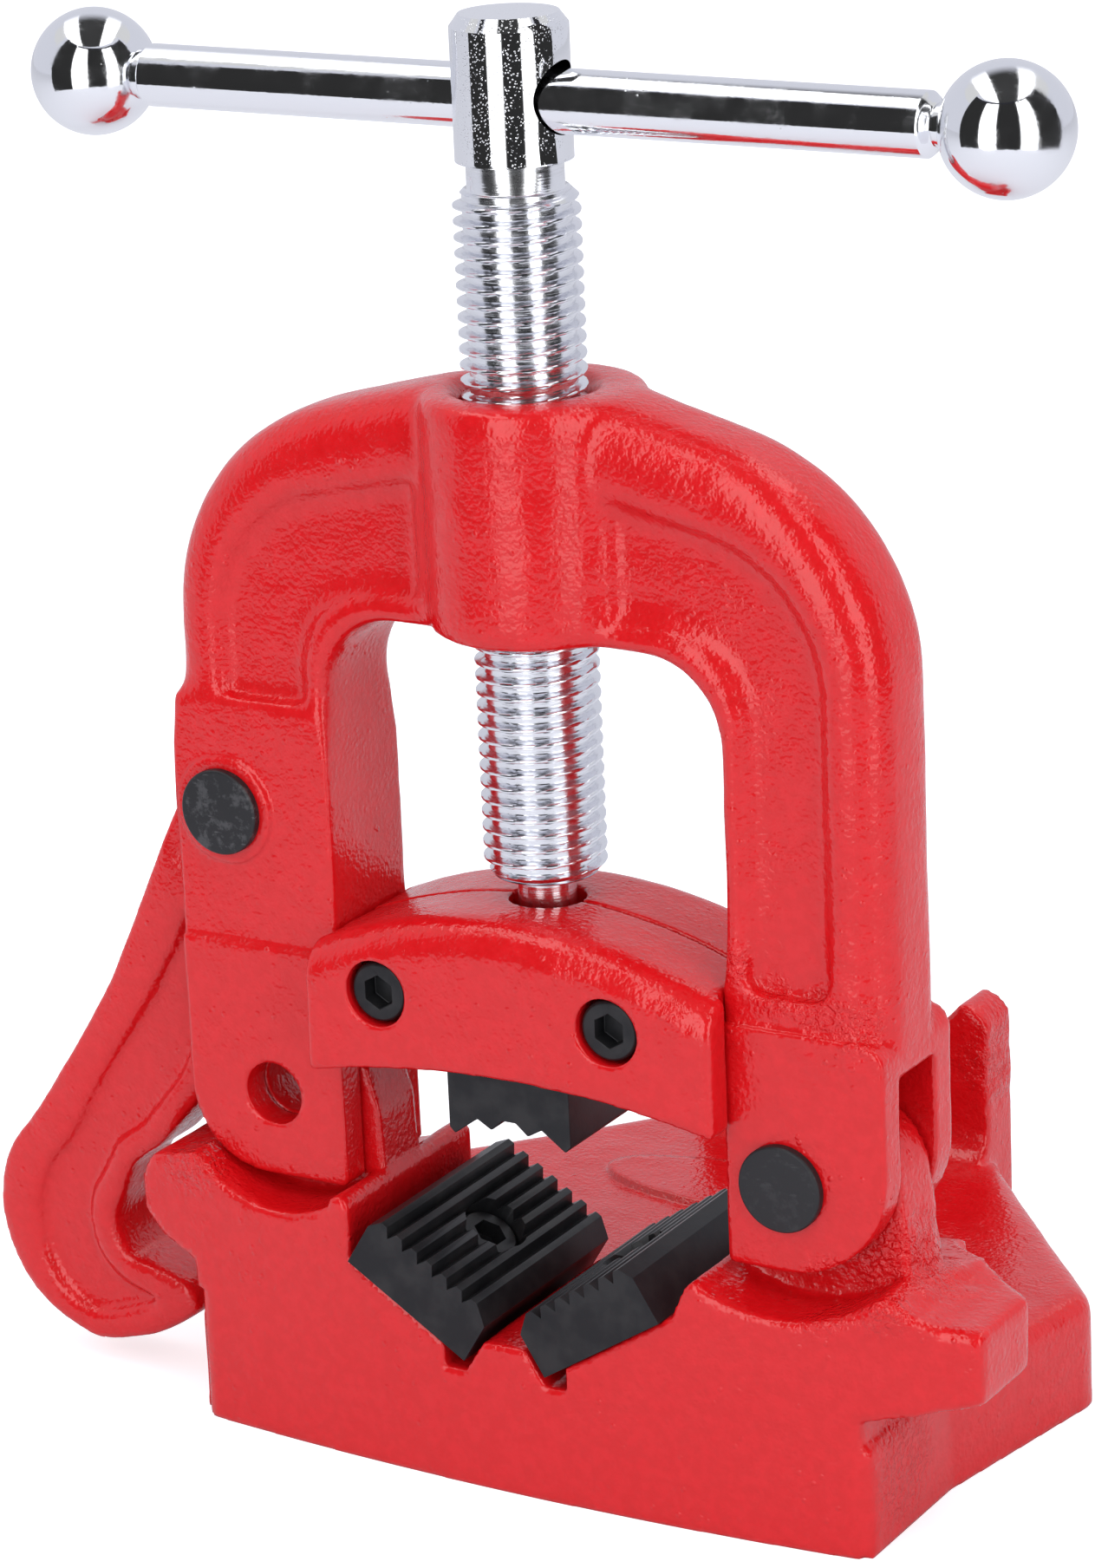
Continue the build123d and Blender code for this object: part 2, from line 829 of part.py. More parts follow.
# The base's ears pass along the middle body as the slide goes down or the yoke swings
ear_reach = sqrt(ear_r**2 - (hinge_x - body_right) ** 2)
relief_top = hinge_z + slide_drop + ear_reach + slot_gap
relief_left = -lug_foot + slot_gap
relief_right = hinge_x - ear_r - slot_gap
clamp_places = [(-clamp_x - clamp_shift, clamp_z), (clamp_x - clamp_shift, clamp_z)]
halves = {"front": -1, "rear": 1}
for name, side in halves.items():
    with BuildPart() as half:
        with BuildSketch(Plane.XZ) as slide_outline:
            with BuildLine():
                ThreePointArc(
                    (slide_left, slide_low_end), (slide_mid, slide_low_mid), (slide_right, slide_low_end)
                )
                Line((slide_right, slide_low_end), (slide_right, slide_high_end))
                ThreePointArc(
                    (slide_right, slide_high_end),
                    (slide_mid, slide_high_mid),
                    (slide_left, slide_high_end),
                )
                Line((slide_left, slide_high_end), (slide_left, slide_low_end))
            make_face()
        extrude(amount=-side * slide_out)
        outer_face = half.faces().sort_by(Axis.Y)[-1 if side > 0 else 0]
        fillet(outer_face.edges().sort_by(Axis.Z)[-1], radius=slide_edge_r)

        # The legs run between the outer plate and the middle body
        with BuildSketch(Plane.XZ):
            with Locations((body_left, 0)):
                Rectangle(reach, reach, align=(Align.MAX, Align.MIN))
            with Locations((body_right, 0)):
                Rectangle(reach, reach, align=(Align.MIN, Align.MIN))
        extrude(amount=-side * plate_in, mode=Mode.SUBTRACT)
        with BuildSketch(Plane.XZ):
            with Locations((0, reach / 2)):
                Rectangle(reach, reach)
        extrude(amount=-side * split_gap / 2, mode=Mode.SUBTRACT)

        with BuildSketch(Plane.XZ):
            with Locations((relief_left, relief_top)):
                Rectangle(reach, reach, align=(Align.MAX, Align.MAX))
            with Locations((relief_right, relief_top)):
                Rectangle(reach, reach, align=(Align.MIN, Align.MAX))
        extrude(amount=-side * fork, mode=Mode.SUBTRACT)

        # Pocket for the upper jaw's neck and head
        with BuildSketch(Plane.XZ):
            with Locations((0, upper_neck_z - seat_gap)):
                Rectangle(2 * (upper_half + seat_gap), reach, align=(Align.CENTER, Align.MAX))
            with Locations((0, upper_neck_z - seat_gap)):
                Rectangle(
                    2 * (upper_head_half + seat_gap),
                    upper_head_z - upper_neck_z + 2 * seat_gap,
                    align=(Align.CENTER, Align.MIN),
                )
        extrude(amount=-side * (upper_len / 2 + seat_gap), mode=Mode.SUBTRACT)

        # Room for the spindle's neck, collar and tip
        with BuildSketch(Plane.XY.offset(collar_low - seat_gap)):
            Circle(collar_r + sliding_gap)
        extrude(amount=collar_high - collar_low + 2 * seat_gap, mode=Mode.SUBTRACT)
        with BuildSketch(Plane.XY.offset(collar_high)):
            Circle(crown_hole_r)
        extrude(amount=reach, mode=Mode.SUBTRACT)
        with BuildSketch(Plane.XY.offset(upper_head_z)):
            Circle(neck_r + sliding_gap)
        extrude(amount=collar_low - upper_head_z, mode=Mode.SUBTRACT)

        # Clamp screws: a well and a clear hole in front, tapped behind
        with BuildSketch(Plane.XZ):
            with Locations(*clamp_places):
                Circle(shank_r + (shank_clear if side < 0 else pin_fit))
        extrude(amount=-side * (slide_out if side < 0 else clamp_len - clamp_grip + 1), mode=Mode.SUBTRACT)
        if side < 0:
            with BuildSketch(Plane.XZ.offset(clamp_grip)):
                with Locations(*clamp_places):
                    Circle(cap_well_r)
            extrude(amount=reach, mode=Mode.SUBTRACT)
    save(half.part, "slide_" + name)

for name, side in {"left": -1, "right": 1}.items():
    head_plane = Plane(
        origin=(side * clamp_x - clamp_shift, -clamp_grip, clamp_z), x_dir=(0, 0, 1), z_dir=(0, -1, 0)
    )
    save(cap_screw(head_plane, clamp_len), "slide_screw_" + name)

# Upper jaw: four crests below, a T head above that the slide's halves trap
with BuildPart() as upper_jaw:
    with BuildSketch(Plane.XZ):
        with BuildLine():
            Polyline(
                (upper_head_half, upper_head_z),
                (upper_head_half, upper_neck_z),
                (upper_half, upper_neck_z),
                (upper_half, upper_tip_z + upper_half - upper_tip_x),
                (upper_tip_x, upper_tip_z),
                (upper_valley_x, upper_tip_z + upper_valley_rise),
                (upper_mid_x, upper_mid_z),
                (upper_flat_x, upper_mid_z + upper_valley),
                (-upper_flat_x, upper_mid_z + upper_valley),
                (-upper_mid_x, upper_mid_z),
                (-upper_valley_x, upper_tip_z + upper_valley_rise),
                (-upper_tip_x, upper_tip_z),
                (-upper_half, upper_tip_z + upper_half - upper_tip_x),
                (-upper_half, upper_neck_z),
                (-upper_head_half, upper_neck_z),
                (-upper_head_half, upper_head_z),
                close=True,
            )
        make_face()
    extrude(amount=upper_len / 2, both=True)
save(upper_jaw.part, "upper_jaw")

# Lower jaws: the section lies on the seat, with flat-topped teeth along its crown
for name, side in {"left": -1, "right": 1}.items():
    jaw_plane = Plane(
        origin=(side * seat_tip_x, 0, seat_tip_z),
        x_dir=(side * seat_cos, 0, seat_sin),
        z_dir=(0, -side, 0),
    )
    screw_plane = Plane(
        origin=(side * seat_x(jaw_w / 2), 0, seat_z(jaw_w / 2)),
        x_dir=(0, 1, 0),
        z_dir=(-side * seat_sin, 0, seat_cos),
    )
    with BuildPart() as jaw:
        with BuildSketch(jaw_plane):
            with BuildLine():
                crown = [(0, jaw_t - jaw_chin), (jaw_chin, jaw_t)]
                flank = (tooth_pitch - tooth_flat) / 2
                for tooth in range(tooth_count):
                    start = jaw_crown_start + tooth * tooth_pitch
                    if tooth > 0:
                        crown.append((start - flank, jaw_crest - tooth_depth))
                    crown.append((start, jaw_crest))
                    crown.append((start + tooth_flat, jaw_crest))
                Polyline((0, 0), *crown, (jaw_w, jaw_t), (jaw_w, 0), close=True)
            make_face()
        extrude(amount=jaw_len / 2, both=True)
        with BuildSketch(screw_plane.offset(jaw_screw_floor)):
            Circle(cap_well_r)
        extrude(amount=reach / 10, mode=Mode.SUBTRACT)
        with BuildSketch(screw_plane):
            Circle(shank_r + shank_clear)
        extrude(amount=jaw_screw_floor, mode=Mode.SUBTRACT)
    save(jaw.part, "lower_jaw_" + name)
    save(cap_screw(screw_plane.offset(jaw_screw_floor), jaw_screw_len), "lower_jaw_screw_" + name)

# Spindle, turned on its axis, with a cross hole for the handle
with BuildPart() as spindle:
    with BuildSketch(Plane.XZ):
        with BuildLine():
            Polyline(
                (0, tip_z),
                (neck_r, tip_z),
                (neck_r, collar_low),
                (collar_r, collar_low),
                (collar_r, collar_high),
                (neck_r, collar_high),
                (neck_r, thread_bottom),
                (screw_r - thread_chamfer, thread_bottom),
                (screw_r, thread_bottom + thread_chamfer),
                (screw_r, thread_top - thread_chamfer),
                (relief_r, thread_top),
                (relief_r, head_low),
                (head_r, head_low),
                (head_r, head_top - head_chamfer_z),
                (head_r - head_chamfer_r, head_top),
                (0, head_top),
                close=True,
            )
        make_face()
    revolve(axis=Axis.Z)
    with BuildSketch(Plane.YZ):
        with Locations((0, handle_z + handle_hole_rise)):
            Circle(handle_hole_r)
    extrude(amount=2 * head_r, both=True, mode=Mode.SUBTRACT)
save(spindle.part, "spindle")

# Handle: the bar, with a thinner stub at each end that enters its ball
with BuildPart() as handle_bar:
    with BuildSketch(Plane.YZ.offset(bar_left_end)):
        with Locations((0, handle_z)):
            Circle(handle_r)
    extrude(amount=bar_right_end - bar_left_end)
    chamfer(handle_bar.edges(), length=bar_end_chamfer)
    with BuildSketch(Plane.YZ.offset(ball_left_x)):
        with Locations((0, handle_z)):
            Circle(stub_r)
    extrude(amount=ball_right_x - ball_left_x)
save(handle_bar.part, "handle_bar")

for name, ball_x in {"left": ball_left_x, "right": ball_right_x}.items():
    inwards = -1 if ball_x > 0 else 1
    with BuildPart() as ball:
        with Locations((ball_x, 0, handle_z)):
            Sphere(ball_r)
        with BuildSketch(Plane.YZ.offset(ball_x - inwards * seat_gap)):
            with Locations((0, handle_z)):
                Circle(stub_r + pin_fit)
        extrude(amount=inwards * reach / 2, mode=Mode.SUBTRACT)
    save(ball.part, "handle_ball_" + name)
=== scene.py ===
"""Yoke pipe vise: the looks of its painted castings, chromed screw and blackened jaws."""

import math

import bmesh
import bpy
import numpy as np
from mathutils import Matrix, Vector


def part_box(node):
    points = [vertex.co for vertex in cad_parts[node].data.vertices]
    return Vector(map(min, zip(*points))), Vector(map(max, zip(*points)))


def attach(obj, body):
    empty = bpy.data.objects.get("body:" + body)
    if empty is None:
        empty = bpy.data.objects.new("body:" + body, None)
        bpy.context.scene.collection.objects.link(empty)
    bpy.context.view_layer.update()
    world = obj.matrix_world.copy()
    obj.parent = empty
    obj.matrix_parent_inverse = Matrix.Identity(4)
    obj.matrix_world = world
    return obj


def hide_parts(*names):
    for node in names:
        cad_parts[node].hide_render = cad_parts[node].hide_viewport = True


bl_info = {
    "name": "Yoke Pipe Vise",
    "version": (1, 0, 0),
    "blender": (4, 5, 0),
    "location": "3D View > Sidebar > Vise",
    "description": "Dresses the pipe vise's solids with cast, chromed and blackened finishes",
    "category": "Object",
}

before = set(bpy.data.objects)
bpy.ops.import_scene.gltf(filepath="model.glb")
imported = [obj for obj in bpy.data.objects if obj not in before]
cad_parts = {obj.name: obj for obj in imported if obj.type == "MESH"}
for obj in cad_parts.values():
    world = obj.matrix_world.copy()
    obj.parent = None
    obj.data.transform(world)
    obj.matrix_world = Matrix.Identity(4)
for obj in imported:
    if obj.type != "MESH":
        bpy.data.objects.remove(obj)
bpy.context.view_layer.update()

MM = 0.001
WELD = 0.002 * MM  # points this close in a solid's triangles are one
FLAT = math.radians(0.4)  # triangles that meet at less than this lie in one face
HAIR = 0.01 * MM  # points this close on the thread's ends are one
ON_AXIS = 1e-9  # a turned shape's radius below this is none


# Node trees


class Wire:
    """One output of a node. Python's operators on it add Math nodes."""

    def __init__(self, board, socket):
        self.board = board
        self.socket = socket

    def maths(self, operation, *others):
        inputs = {0: self}
        for index, other in enumerate(others):
            inputs[index + 1] = other
        return self.board.add("ShaderNodeMath", {"operation": operation}, inputs)

    def reflected(self, operation, other):
        return self.board.add("ShaderNodeMath", {"operation": operation}, {0: other, 1: self})

    def __add__(self, other):
        return self.maths("ADD", other)

    def __radd__(self, other):
        return self.reflected("ADD", other)

    def __sub__(self, other):
        return self.maths("SUBTRACT", other)

    def __rsub__(self, other):
        return self.reflected("SUBTRACT", other)

    def __mul__(self, other):
        return self.maths("MULTIPLY", other)

    def __rmul__(self, other):
        return self.reflected("MULTIPLY", other)

    def __truediv__(self, other):
        return self.maths("DIVIDE", other)

    def __rtruediv__(self, other):
        return self.reflected("DIVIDE", other)

    def __abs__(self):
        return self.maths("ABSOLUTE")

    def fraction(self):
        return self.maths("FRACT")

    def least(self, other):
        return self.maths("MINIMUM", other)

    def most(self, other):
        return self.maths("MAXIMUM", other)

    def above(self, other):
        return self.maths("GREATER_THAN", other)

    def ramp(self, low, high, start=0.0, end=1.0):
        """Runs smoothly from start at low to end at high, and stays level beyond."""
        return self.board.add(
            "ShaderNodeMapRange",
            {"interpolation_type": "SMOOTHSTEP"},
            {"Value": self, "From Min": low, "From Max": high, "To Min": start, "To Max": end},
        )


class Board:
    """A node tree that is filled one node at a time."""

    def __init__(self, tree):
        self.tree = tree

    def add(self, kind, settings=None, inputs=None, output=0):
        """Adds a node: its settings first, then the values or wires of its inputs."""
        node = self.tree.nodes.new(kind)
        for name, value in (settings or {}).items():
            if name == "stops":
                self.set_stops(node.color_ramp, value)
            else:
                setattr(node, name, value)
        for name, value in (inputs or {}).items():
            socket = node.inputs[name]
            if isinstance(value, Wire):
                self.tree.links.new(value.socket, socket)
            else:
                socket.default_value = value
        return Wire(self, node.outputs[output]) if node.outputs else None

    @staticmethod
    def set_stops(ramp, stops):
        while len(ramp.elements) < len(stops):
            ramp.elements.new(1.0)
        for element, (place, colour) in zip(ramp.elements, stops):
            element.position = place
            element.color = (*colour, 1.0)

    def mix(self, share, first, second):
        """Mixes two colours by a value."""
        return self.add(
            "ShaderNodeMix",
            {"data_type": "RGBA"},
            {"Factor": share, 6: first, 7: second},
            output=2,
        )

    def noise(self, where, scale, detail=2.0, roughness=0.5):
        """Cloudy values round a half; scale is how many clouds there are to a metre."""
        return self.add(
            "ShaderNodeTexNoise",
            {},
            {"Vector": where, "Scale": scale, "Detail": detail, "Roughness": roughness},
        )

    def cells(self, where, scale):
        """How far each place is from the nearest of many scattered points."""
        return self.add(
            "ShaderNodeTexVoronoi", {"feature": "F1"}, {"Vector": where, "Scale": scale}
        )

    def parts(self, vector):
        """A vector's x, y and z."""
        split = self.tree.nodes.new("ShaderNodeSeparateXYZ")
        self.tree.links.new(vector.socket, split.inputs[0])
        return [Wire(self, output) for output in split.outputs]

    def distance(self, where, centre):
        """How far each place is from the centre."""
        return self.add(
            "ShaderNodeVectorMath", {"operation": "DISTANCE"}, {0: where, 1: centre}, output=1
        )

    def stretched(self, where, factors):
        """The same coordinates, each times its factor."""
        return self.add(
            "ShaderNodeVectorMath", {"operation": "MULTIPLY"}, {0: where, 1: factors}
        )

    def bump(self, height, distance, strength=1.0):
        """A normal tilted by the height, which runs from 0 to 1 over the distance."""
        return self.add(
            "ShaderNodeBump", {}, {"Height": height, "Distance": distance, "Strength": strength}
        )

    def ray(self, kind):
        """Whether the light path is of a kind, such as Is Camera Ray."""
        return self.add("ShaderNodeLightPath", output=kind)


def cleared_board(owner):
    """A board on the emptied node tree of a material or a world."""
    owner.use_nodes = True
    owner.node_tree.nodes.clear()
    return Board(owner.node_tree)


def new_finish(name):
    """A material with an empty tree, the board to fill it and the object's coordinates."""
    material = bpy.data.materials.new(name)
    board = cleared_board(material)
    return material, board, board.add("ShaderNodeTexCoord", output="Object")


def close_finish(board, **shader):
    """Ends a material in one Principled shader; underscores stand for spaces."""
    inputs = {name.replace("_", " "): value for name, value in shader.items()}
    surface = board.add("ShaderNodeBsdfPrincipled", {}, inputs)
    board.add("ShaderNodeOutputMaterial", {}, {"Surface": surface})


# Finishes


def red_enamel(look):
    """Gloss enamel over sand-cast iron: pebbled all over, and rough where flash was left."""
    material, board, where = new_finish("red_enamel")
    swells = board.noise(where, 150.0)
    lumps = board.noise(where, 480.0, roughness=0.55)
    pebbles = board.noise(where, 1150.0, detail=1.0)
    specks = board.cells(where, 430.0).ramp(0.08, 0.26, 1.0, 0.0)
    sprinkle = board.noise(where, 90.0).ramp(0.46, 0.62)
    flash = 0.0
    for centre, reach in ROUGH_SPOTS:
        away = board.distance(where, [place * MM for place in centre])
        flash = away.ramp(0.5 * reach * MM, 1.2 * reach * MM, 1.0, 0.0) + flash
    flash = flash.least(1.0)
    sand = board.noise(where, 850.0, roughness=0.55).ramp(0.36, 0.64)
    patchy = swells.ramp(0.3, 0.7)
    colour = board.mix(
        lumps.ramp(0.35, 0.7) * 0.5, (*look.paint_deep, 1.0), (*look.paint, 1.0)
    )
    rough = look.paint_roughness + (pebbles - 0.5) * 0.08 + patchy * 0.04 - flash * 0.06
    grain = swells * 0.06 + lumps * 0.06 + pebbles * (0.2 + 0.24 * patchy)
    spots = specks * sprinkle * 0.24 + sand * flash * 0.5
    close_finish(
        board,
        Base_Color=colour,
        Roughness=rough,
        Specular_IOR_Level=look.paint_gloss,
        Normal=board.bump(grain + spots, look.cast_relief),
    )
    return material


def bright_chrome(look):
    """Polished chrome plate, fingermarked, with fine scratches and a few pits."""
    material, board, where = new_finish("bright_chrome")
    marks = board.noise(where, 170.0, detail=4.0, roughness=0.6).ramp(0.4, 0.65)
    along_bar = board.stretched(where, (0.3, 1.0, 1.0))
    scratches = board.noise(along_bar, 1900.0, detail=3.0, roughness=0.7)
    specks = board.cells(where, 520.0).ramp(0.05, 0.12, 1.0, 0.0)
    close_finish(
        board,
        Base_Color=(*look.chrome, 1.0),
        Metallic=1.0,
        Roughness=look.chrome_roughness + marks * scratches * 0.2,
        Normal=board.bump(scratches * marks * 0.6 + specks * marks, 0.02 * MM),
    )
    return material


def pitted_chrome(look):
    """Chrome over a coarse blank, whose pits glint in dark reflections, and a turned neck."""
    material, board, where = new_finish("pitted_chrome")
    pits = board.cells(where, 2400.0).ramp(0.1, 0.34, 1.0, 0.0)
    patches = board.noise(where, 260.0, detail=3.0, roughness=0.6).ramp(0.36, 0.6)
    height = board.parts(where)[2]
    lines = board.noise(board.stretched(where, (0.02, 0.02, 1.0)), 1500.0)
    turned = height.ramp(look.collar, look.collar + 0.3 * MM, 1.0, 0.0)
    close_finish(
        board,
        Base_Color=(*look.chrome, 1.0),
        Metallic=1.0,
        Roughness=look.chrome_roughness + turned * 0.14,
        Normal=board.bump(pits * patches * (1.0 - turned) + lines * turned * 4.0, 0.04 * MM),
    )
    return material


def turned_chrome(look):
    """Chrome over the turned thread, duller than the polished handle."""
    material, board, where = new_finish("turned_chrome")
    lines = board.noise(board.stretched(where, (0.05, 0.05, 1.0)), 1700.0)
    clouds = board.noise(where, 500.0, detail=3.0, roughness=0.6)
    close_finish(
        board,
        Base_Color=(*look.chrome_turned, 1.0),
        Metallic=1.0,
        Roughness=look.chrome_roughness + 0.09 + clouds.ramp(0.35, 0.7) * 0.1,
        Normal=board.bump(lines * 0.6 + clouds * 0.4, 0.08 * MM),
    )
    return material


def black_oxide(look):
    """Blackened steel with an oily sheen, a little lighter where it has been handled."""
    material, board, where = new_finish("black_oxide")
    clouds = board.noise(where, 220.0, detail=3.0)
    grain = board.noise(where, 2600.0)
    colour = board.mix(clouds.ramp(0.35, 0.7), (*look.oxide, 1.0), (*look.oxide_worn, 1.0))
    close_finish(
        board,
        Base_Color=colour,
        Metallic=0.55,
        Roughness=look.oxide_roughness + (clouds - 0.5) * 0.2,
        Normal=board.bump(grain, 0.02 * MM, 0.6),
    )
    return material


def dark_pin(look):
    """Dark steel of the pins, with pale scuffs most of all on the latch pin's head."""
    material, board, where = new_finish("dark_pin")
    clouds = board.noise(where, 420.0, detail=4.0, roughness=0.65)
    scratches = board.noise(board.stretched(where, (0.25, 1.0, 1.0)), 1400.0).ramp(0.62, 0.7)
    from_head = board.distance(where, [place * MM for place in LATCH_PIN_HEAD])
    worn = from_head.ramp(4.0 * MM, 30.0 * MM, 1.0, 0.2)
    scuffs = clouds.ramp(0.5, 0.66) * 0.7 + scratches * clouds.ramp(0.42, 0.55)
    scuffs = scuffs.least(1.0) * worn
    grain = board.noise(where, 2200.0)
    colour = board.mix(scuffs, (*look.pin, 1.0), (*look.pin_scuffed, 1.0))
    close_finish(
        board,
        Base_Color=colour,
        Metallic=0.6,
        Roughness=0.46 - scuffs * 0.1,
        Normal=board.bump(grain * 0.5 + clouds, 0.04 * MM, 0.6),
    )
    return material


# Where the latch pin is scuffed most, in millimetres
LATCH_PIN_HEAD = (-54.3, -11.0, 107.2)

# Where the castings are rough with flash, in millimetres: (centre, reach)
ROUGH_SPOTS = (
    ((64.0, -2.0, 46.0), 10.0),
    ((56.0, -14.0, 43.0), 7.0),
    ((67.0, -17.0, 44.0), 6.0),
    ((30.0, 104.0, 38.0), 10.0),
    ((61.0, -10.5, 87.0), 5.0),
    ((54.0, -10.5, 88.5), 5.0),
    ((46.0, -10.5, 90.0), 4.0),
    ((38.5, -9.0, 94.0), 4.0),
    ((33.0, -20.0, 89.0), 4.0),
    ((65.0, -4.0, 12.0), 11.0),
    ((-62.0, -17.0, 47.0), 8.0),
    ((-78.0, -14.0, 38.0), 7.0),
)

FINISHES = {}
MAKERS = {
    "red_enamel": red_enamel,
    "bright_chrome": bright_chrome,
    "pitted_chrome": pitted_chrome,
    "turned_chrome": turned_chrome,
    "black_oxide": black_oxide,
    "dark_pin": dark_pin,
}


def finish_named(name):
    if name not in FINISHES:
        FINISHES[name] = MAKERS[name](bpy.context.scene.vise_look)
    return FINISHES[name]


# Meshes


def welded(node):
    """The CAD node's triangles, joined into one skin."""
    skin = bmesh.new()
    skin.from_mesh(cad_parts[node].data)
    bmesh.ops.remove_doubles(skin, verts=skin.verts, dist=WELD)
    return skin


def new_piece(name, mesh, body, finish, nodes=()):
    """Puts a finished mesh on its body, in place of the nodes that it stands for."""
    mesh.name = name
    mesh.materials.clear()
    mesh.materials.append(finish_named(finish))
    piece = linked(name, mesh)
    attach(piece, body)
    if nodes:
        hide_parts(*nodes)
    return piece


def smooth_shaded(mesh, angle=30.0):
    """Shades the mesh smooth but for edges that turn by more than the angle."""
    mesh.shade_smooth()
    mesh.set_sharp_from_angle(angle=math.radians(angle))


def mesh_of(skin, name):
    """The skin as a mesh; the skin itself is freed."""
    mesh = bpy.data.meshes.new(name)
    skin.to_mesh(mesh)
    skin.free()
    return mesh


def without_flat_edges(skin):
    """The skin with the triangles of each flat face joined."""
    bmesh.ops.dissolve_limit(skin, angle_limit=FLAT, verts=skin.verts, edges=skin.edges)
    return skin


def linked(name, data):
    """A new object in the scene, of a mesh, a lamp or a camera."""
    piece = bpy.data.objects.new(name, data)
    bpy.context.scene.collection.objects.link(piece)
    return piece


def settled(piece):
    """The piece's mesh with its modifiers applied; the piece itself is removed."""
    graph = bpy.context.evaluated_depsgraph_get()
    mesh = bpy.data.meshes.new_from_object(piece.evaluated_get(graph))
    bpy.data.objects.remove(piece)
    return mesh


def even_skin(node, cell):
    """A closed skin of even cells over the node's solid, its edges still sharp."""
    rough = linked(node + "_skin", mesh_of(welded(node), node + "_skin"))
    low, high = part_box(node)
    remesh = rough.modifiers.new("cells", "REMESH")
    remesh.mode = "SHARP"
    remesh.octree_depth = 8
    remesh.scale = max(high - low) / (cell * 2**remesh.octree_depth)
    remesh.use_remove_disconnected = False
    return settled(rough)


def read_from(items, field, width, kind):
    """A field of a mesh's items, one row each."""
    values = np.empty(len(items) * width, kind)
    items.foreach_get(field, values)
    return values.reshape(-1, width)


def move_points(mesh, points):
    mesh.vertices.foreach_set("co", points.astype(np.float32).ravel())
    mesh.update()


def rounded(points, pairs, rounds, weight):
    """Draws each point towards its neighbours' middle, as casting rounds off edges."""
    count = len(points)
    near = np.bincount(pairs.ravel(), minlength=count)[:, None]
    first, second = pairs.T
    for _ in range(rounds):
        total = np.empty_like(points)
        for axis in range(3):
            total[:, axis] = np.bincount(first, points[second, axis], count)
            total[:, axis] += np.bincount(second, points[first, axis], count)
        points = points + (total / near - points) * 0.5 * weight
    return points


LATTICE = 32  # cells to a side before the random heights repeat


def lattice_noise(points, spacing, seed):
    """Smooth random heights from -1 to 1 on a lattice of this spacing."""
    cells = np.random.default_rng(seed).uniform(-1.0, 1.0, (LATTICE, LATTICE, LATTICE))
    place = points / spacing + 1000.0  # the lattice starts well outside the piece
    whole = np.floor(place).astype(int)
    part = place - whole
    part = part * part * (3.0 - 2.0 * part)
    height = np.zeros(len(points))
    for corner in range(8):
        step = np.array([corner & 1, corner >> 1 & 1, corner >> 2 & 1])
        share = np.prod(np.where(step, part, 1.0 - part), axis=1)
        at = (whole + step) % LATTICE
        height += share * cells[at[:, 0], at[:, 1], at[:, 2]]
    return height


def graded(points, everywhere, spots):
    """A value at each point: the same everywhere but for spots of (centre, reach, value).

    A spot fades out from its reach to 1.35 times its reach. A coordinate left out of a
    centre makes its spot a rod or a slab.
    """
    value = np.full(len(points), everywhere)
    for centre, reach, inside in spots:
        kept = [axis for axis in range(3) if centre[axis] is not None]
        middle = np.array([centre[axis] for axis in kept]) * MM
        away = np.linalg.norm(points[:, kept] - middle, axis=1) / MM
        value += (inside - value) * np.clip((1.35 * reach - away) / (0.35 * reach), 0.0, 1.0)
    return value


# Spacing of a casting's swells, of their finer half and of its flash
SWELL, FINE_SWELL, LUMP = 9.0 * MM, 3.5 * MM, 2.3 * MM
# Up to this height a casting that stands on the bench stays flat
FLAT_FOOT = 3.0 * MM


def cast_piece(node, body, cell, rounds, seed, spots, softness=1.0, flash=(), shape=None):
    """A casting: the node's solid with its edges rounded and its skin a little uneven.

    Softness is how much of each round of rounding counts, but for the spots; flash is
    where rough lumps were left standing, each with its height in millimetres.
    """
    look = bpy.context.scene.vise_look
    mesh = even_skin(node, cell)
    points = read_from(mesh.vertices, "co", 3, np.float32).astype(float)
    if shape:
        points = shape(points)
    soft = graded(points, softness, spots)[:, None]
    points = rounded(points, read_from(mesh.edges, "vertices", 2, np.int32), rounds, soft)
    move_points(mesh, points)
    lift = lattice_noise(points, SWELL, seed) + 0.5 * lattice_noise(points, FINE_SWELL, seed + 1)
    lift *= look.cast_swell
    lift += lattice_noise(points, LUMP, seed + 2) * graded(points, 0.0, flash) * MM
    lift *= np.clip(points[:, 2] / FLAT_FOOT, 0.0, 1.0)
    outwards = read_from(mesh.vertex_normals, "vector", 3, np.float32).astype(float)
    points = points + outwards * lift[:, None]
    points[:, 2] = np.maximum(points[:, 2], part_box(node)[0].z)
    move_points(mesh, points)
    mesh.shade_smooth()
    return new_piece("cast_" + node, mesh, body, "red_enamel", [node])


def least_along(value, along):
    """The least value found at each millimetre along: the outline on that side."""
    first = math.floor(along.min())
    place = np.floor(along).astype(int) - first
    least = np.full(place.max() + 1, np.inf)
    np.minimum.at(least, place, value)
    found = np.isfinite(least)
    return np.interp(along, (first + 0.5 + np.arange(len(least)))[found], least[found])


# How the latch hook differs from its solid, in millimetres: pairs of a place and a value
RIM_INWARDS = (  # by height, how far the inner edge of the outer rim moves in
    (10.0, 0.0), (16.0, 2.0), (22.0, 3.3), (33.0, 4.0), (41.0, 3.9), (49.0, 3.0),
    (56.0, 2.8), (63.0, 3.2), (70.0, 3.7), (80.0, 4.8), (91.0, 5.4), (96.0, 0.0),
)
RIM_SHARE = ((1.2, 0.0), (4.2, 1.0), (8.0, 1.0), (18.0, 0.0))  # by distance from the outline
TOE_DROP = ((-97.0, 0.0), (-87.0, 1.3), (-80.0, 2.1), (-74.0, 2.1), (-66.0, 1.6))  # by x
TOE_SHARE = ((0.0, 1.0), (11.0, 0.0))  # by height over the underside
TOE_ONLY = ((24.0, 1.0), (30.0, 0.0))  # by height
LOWER_SHARE = ((-72.0, 1.0), (-66.0, 0.0))  # by x
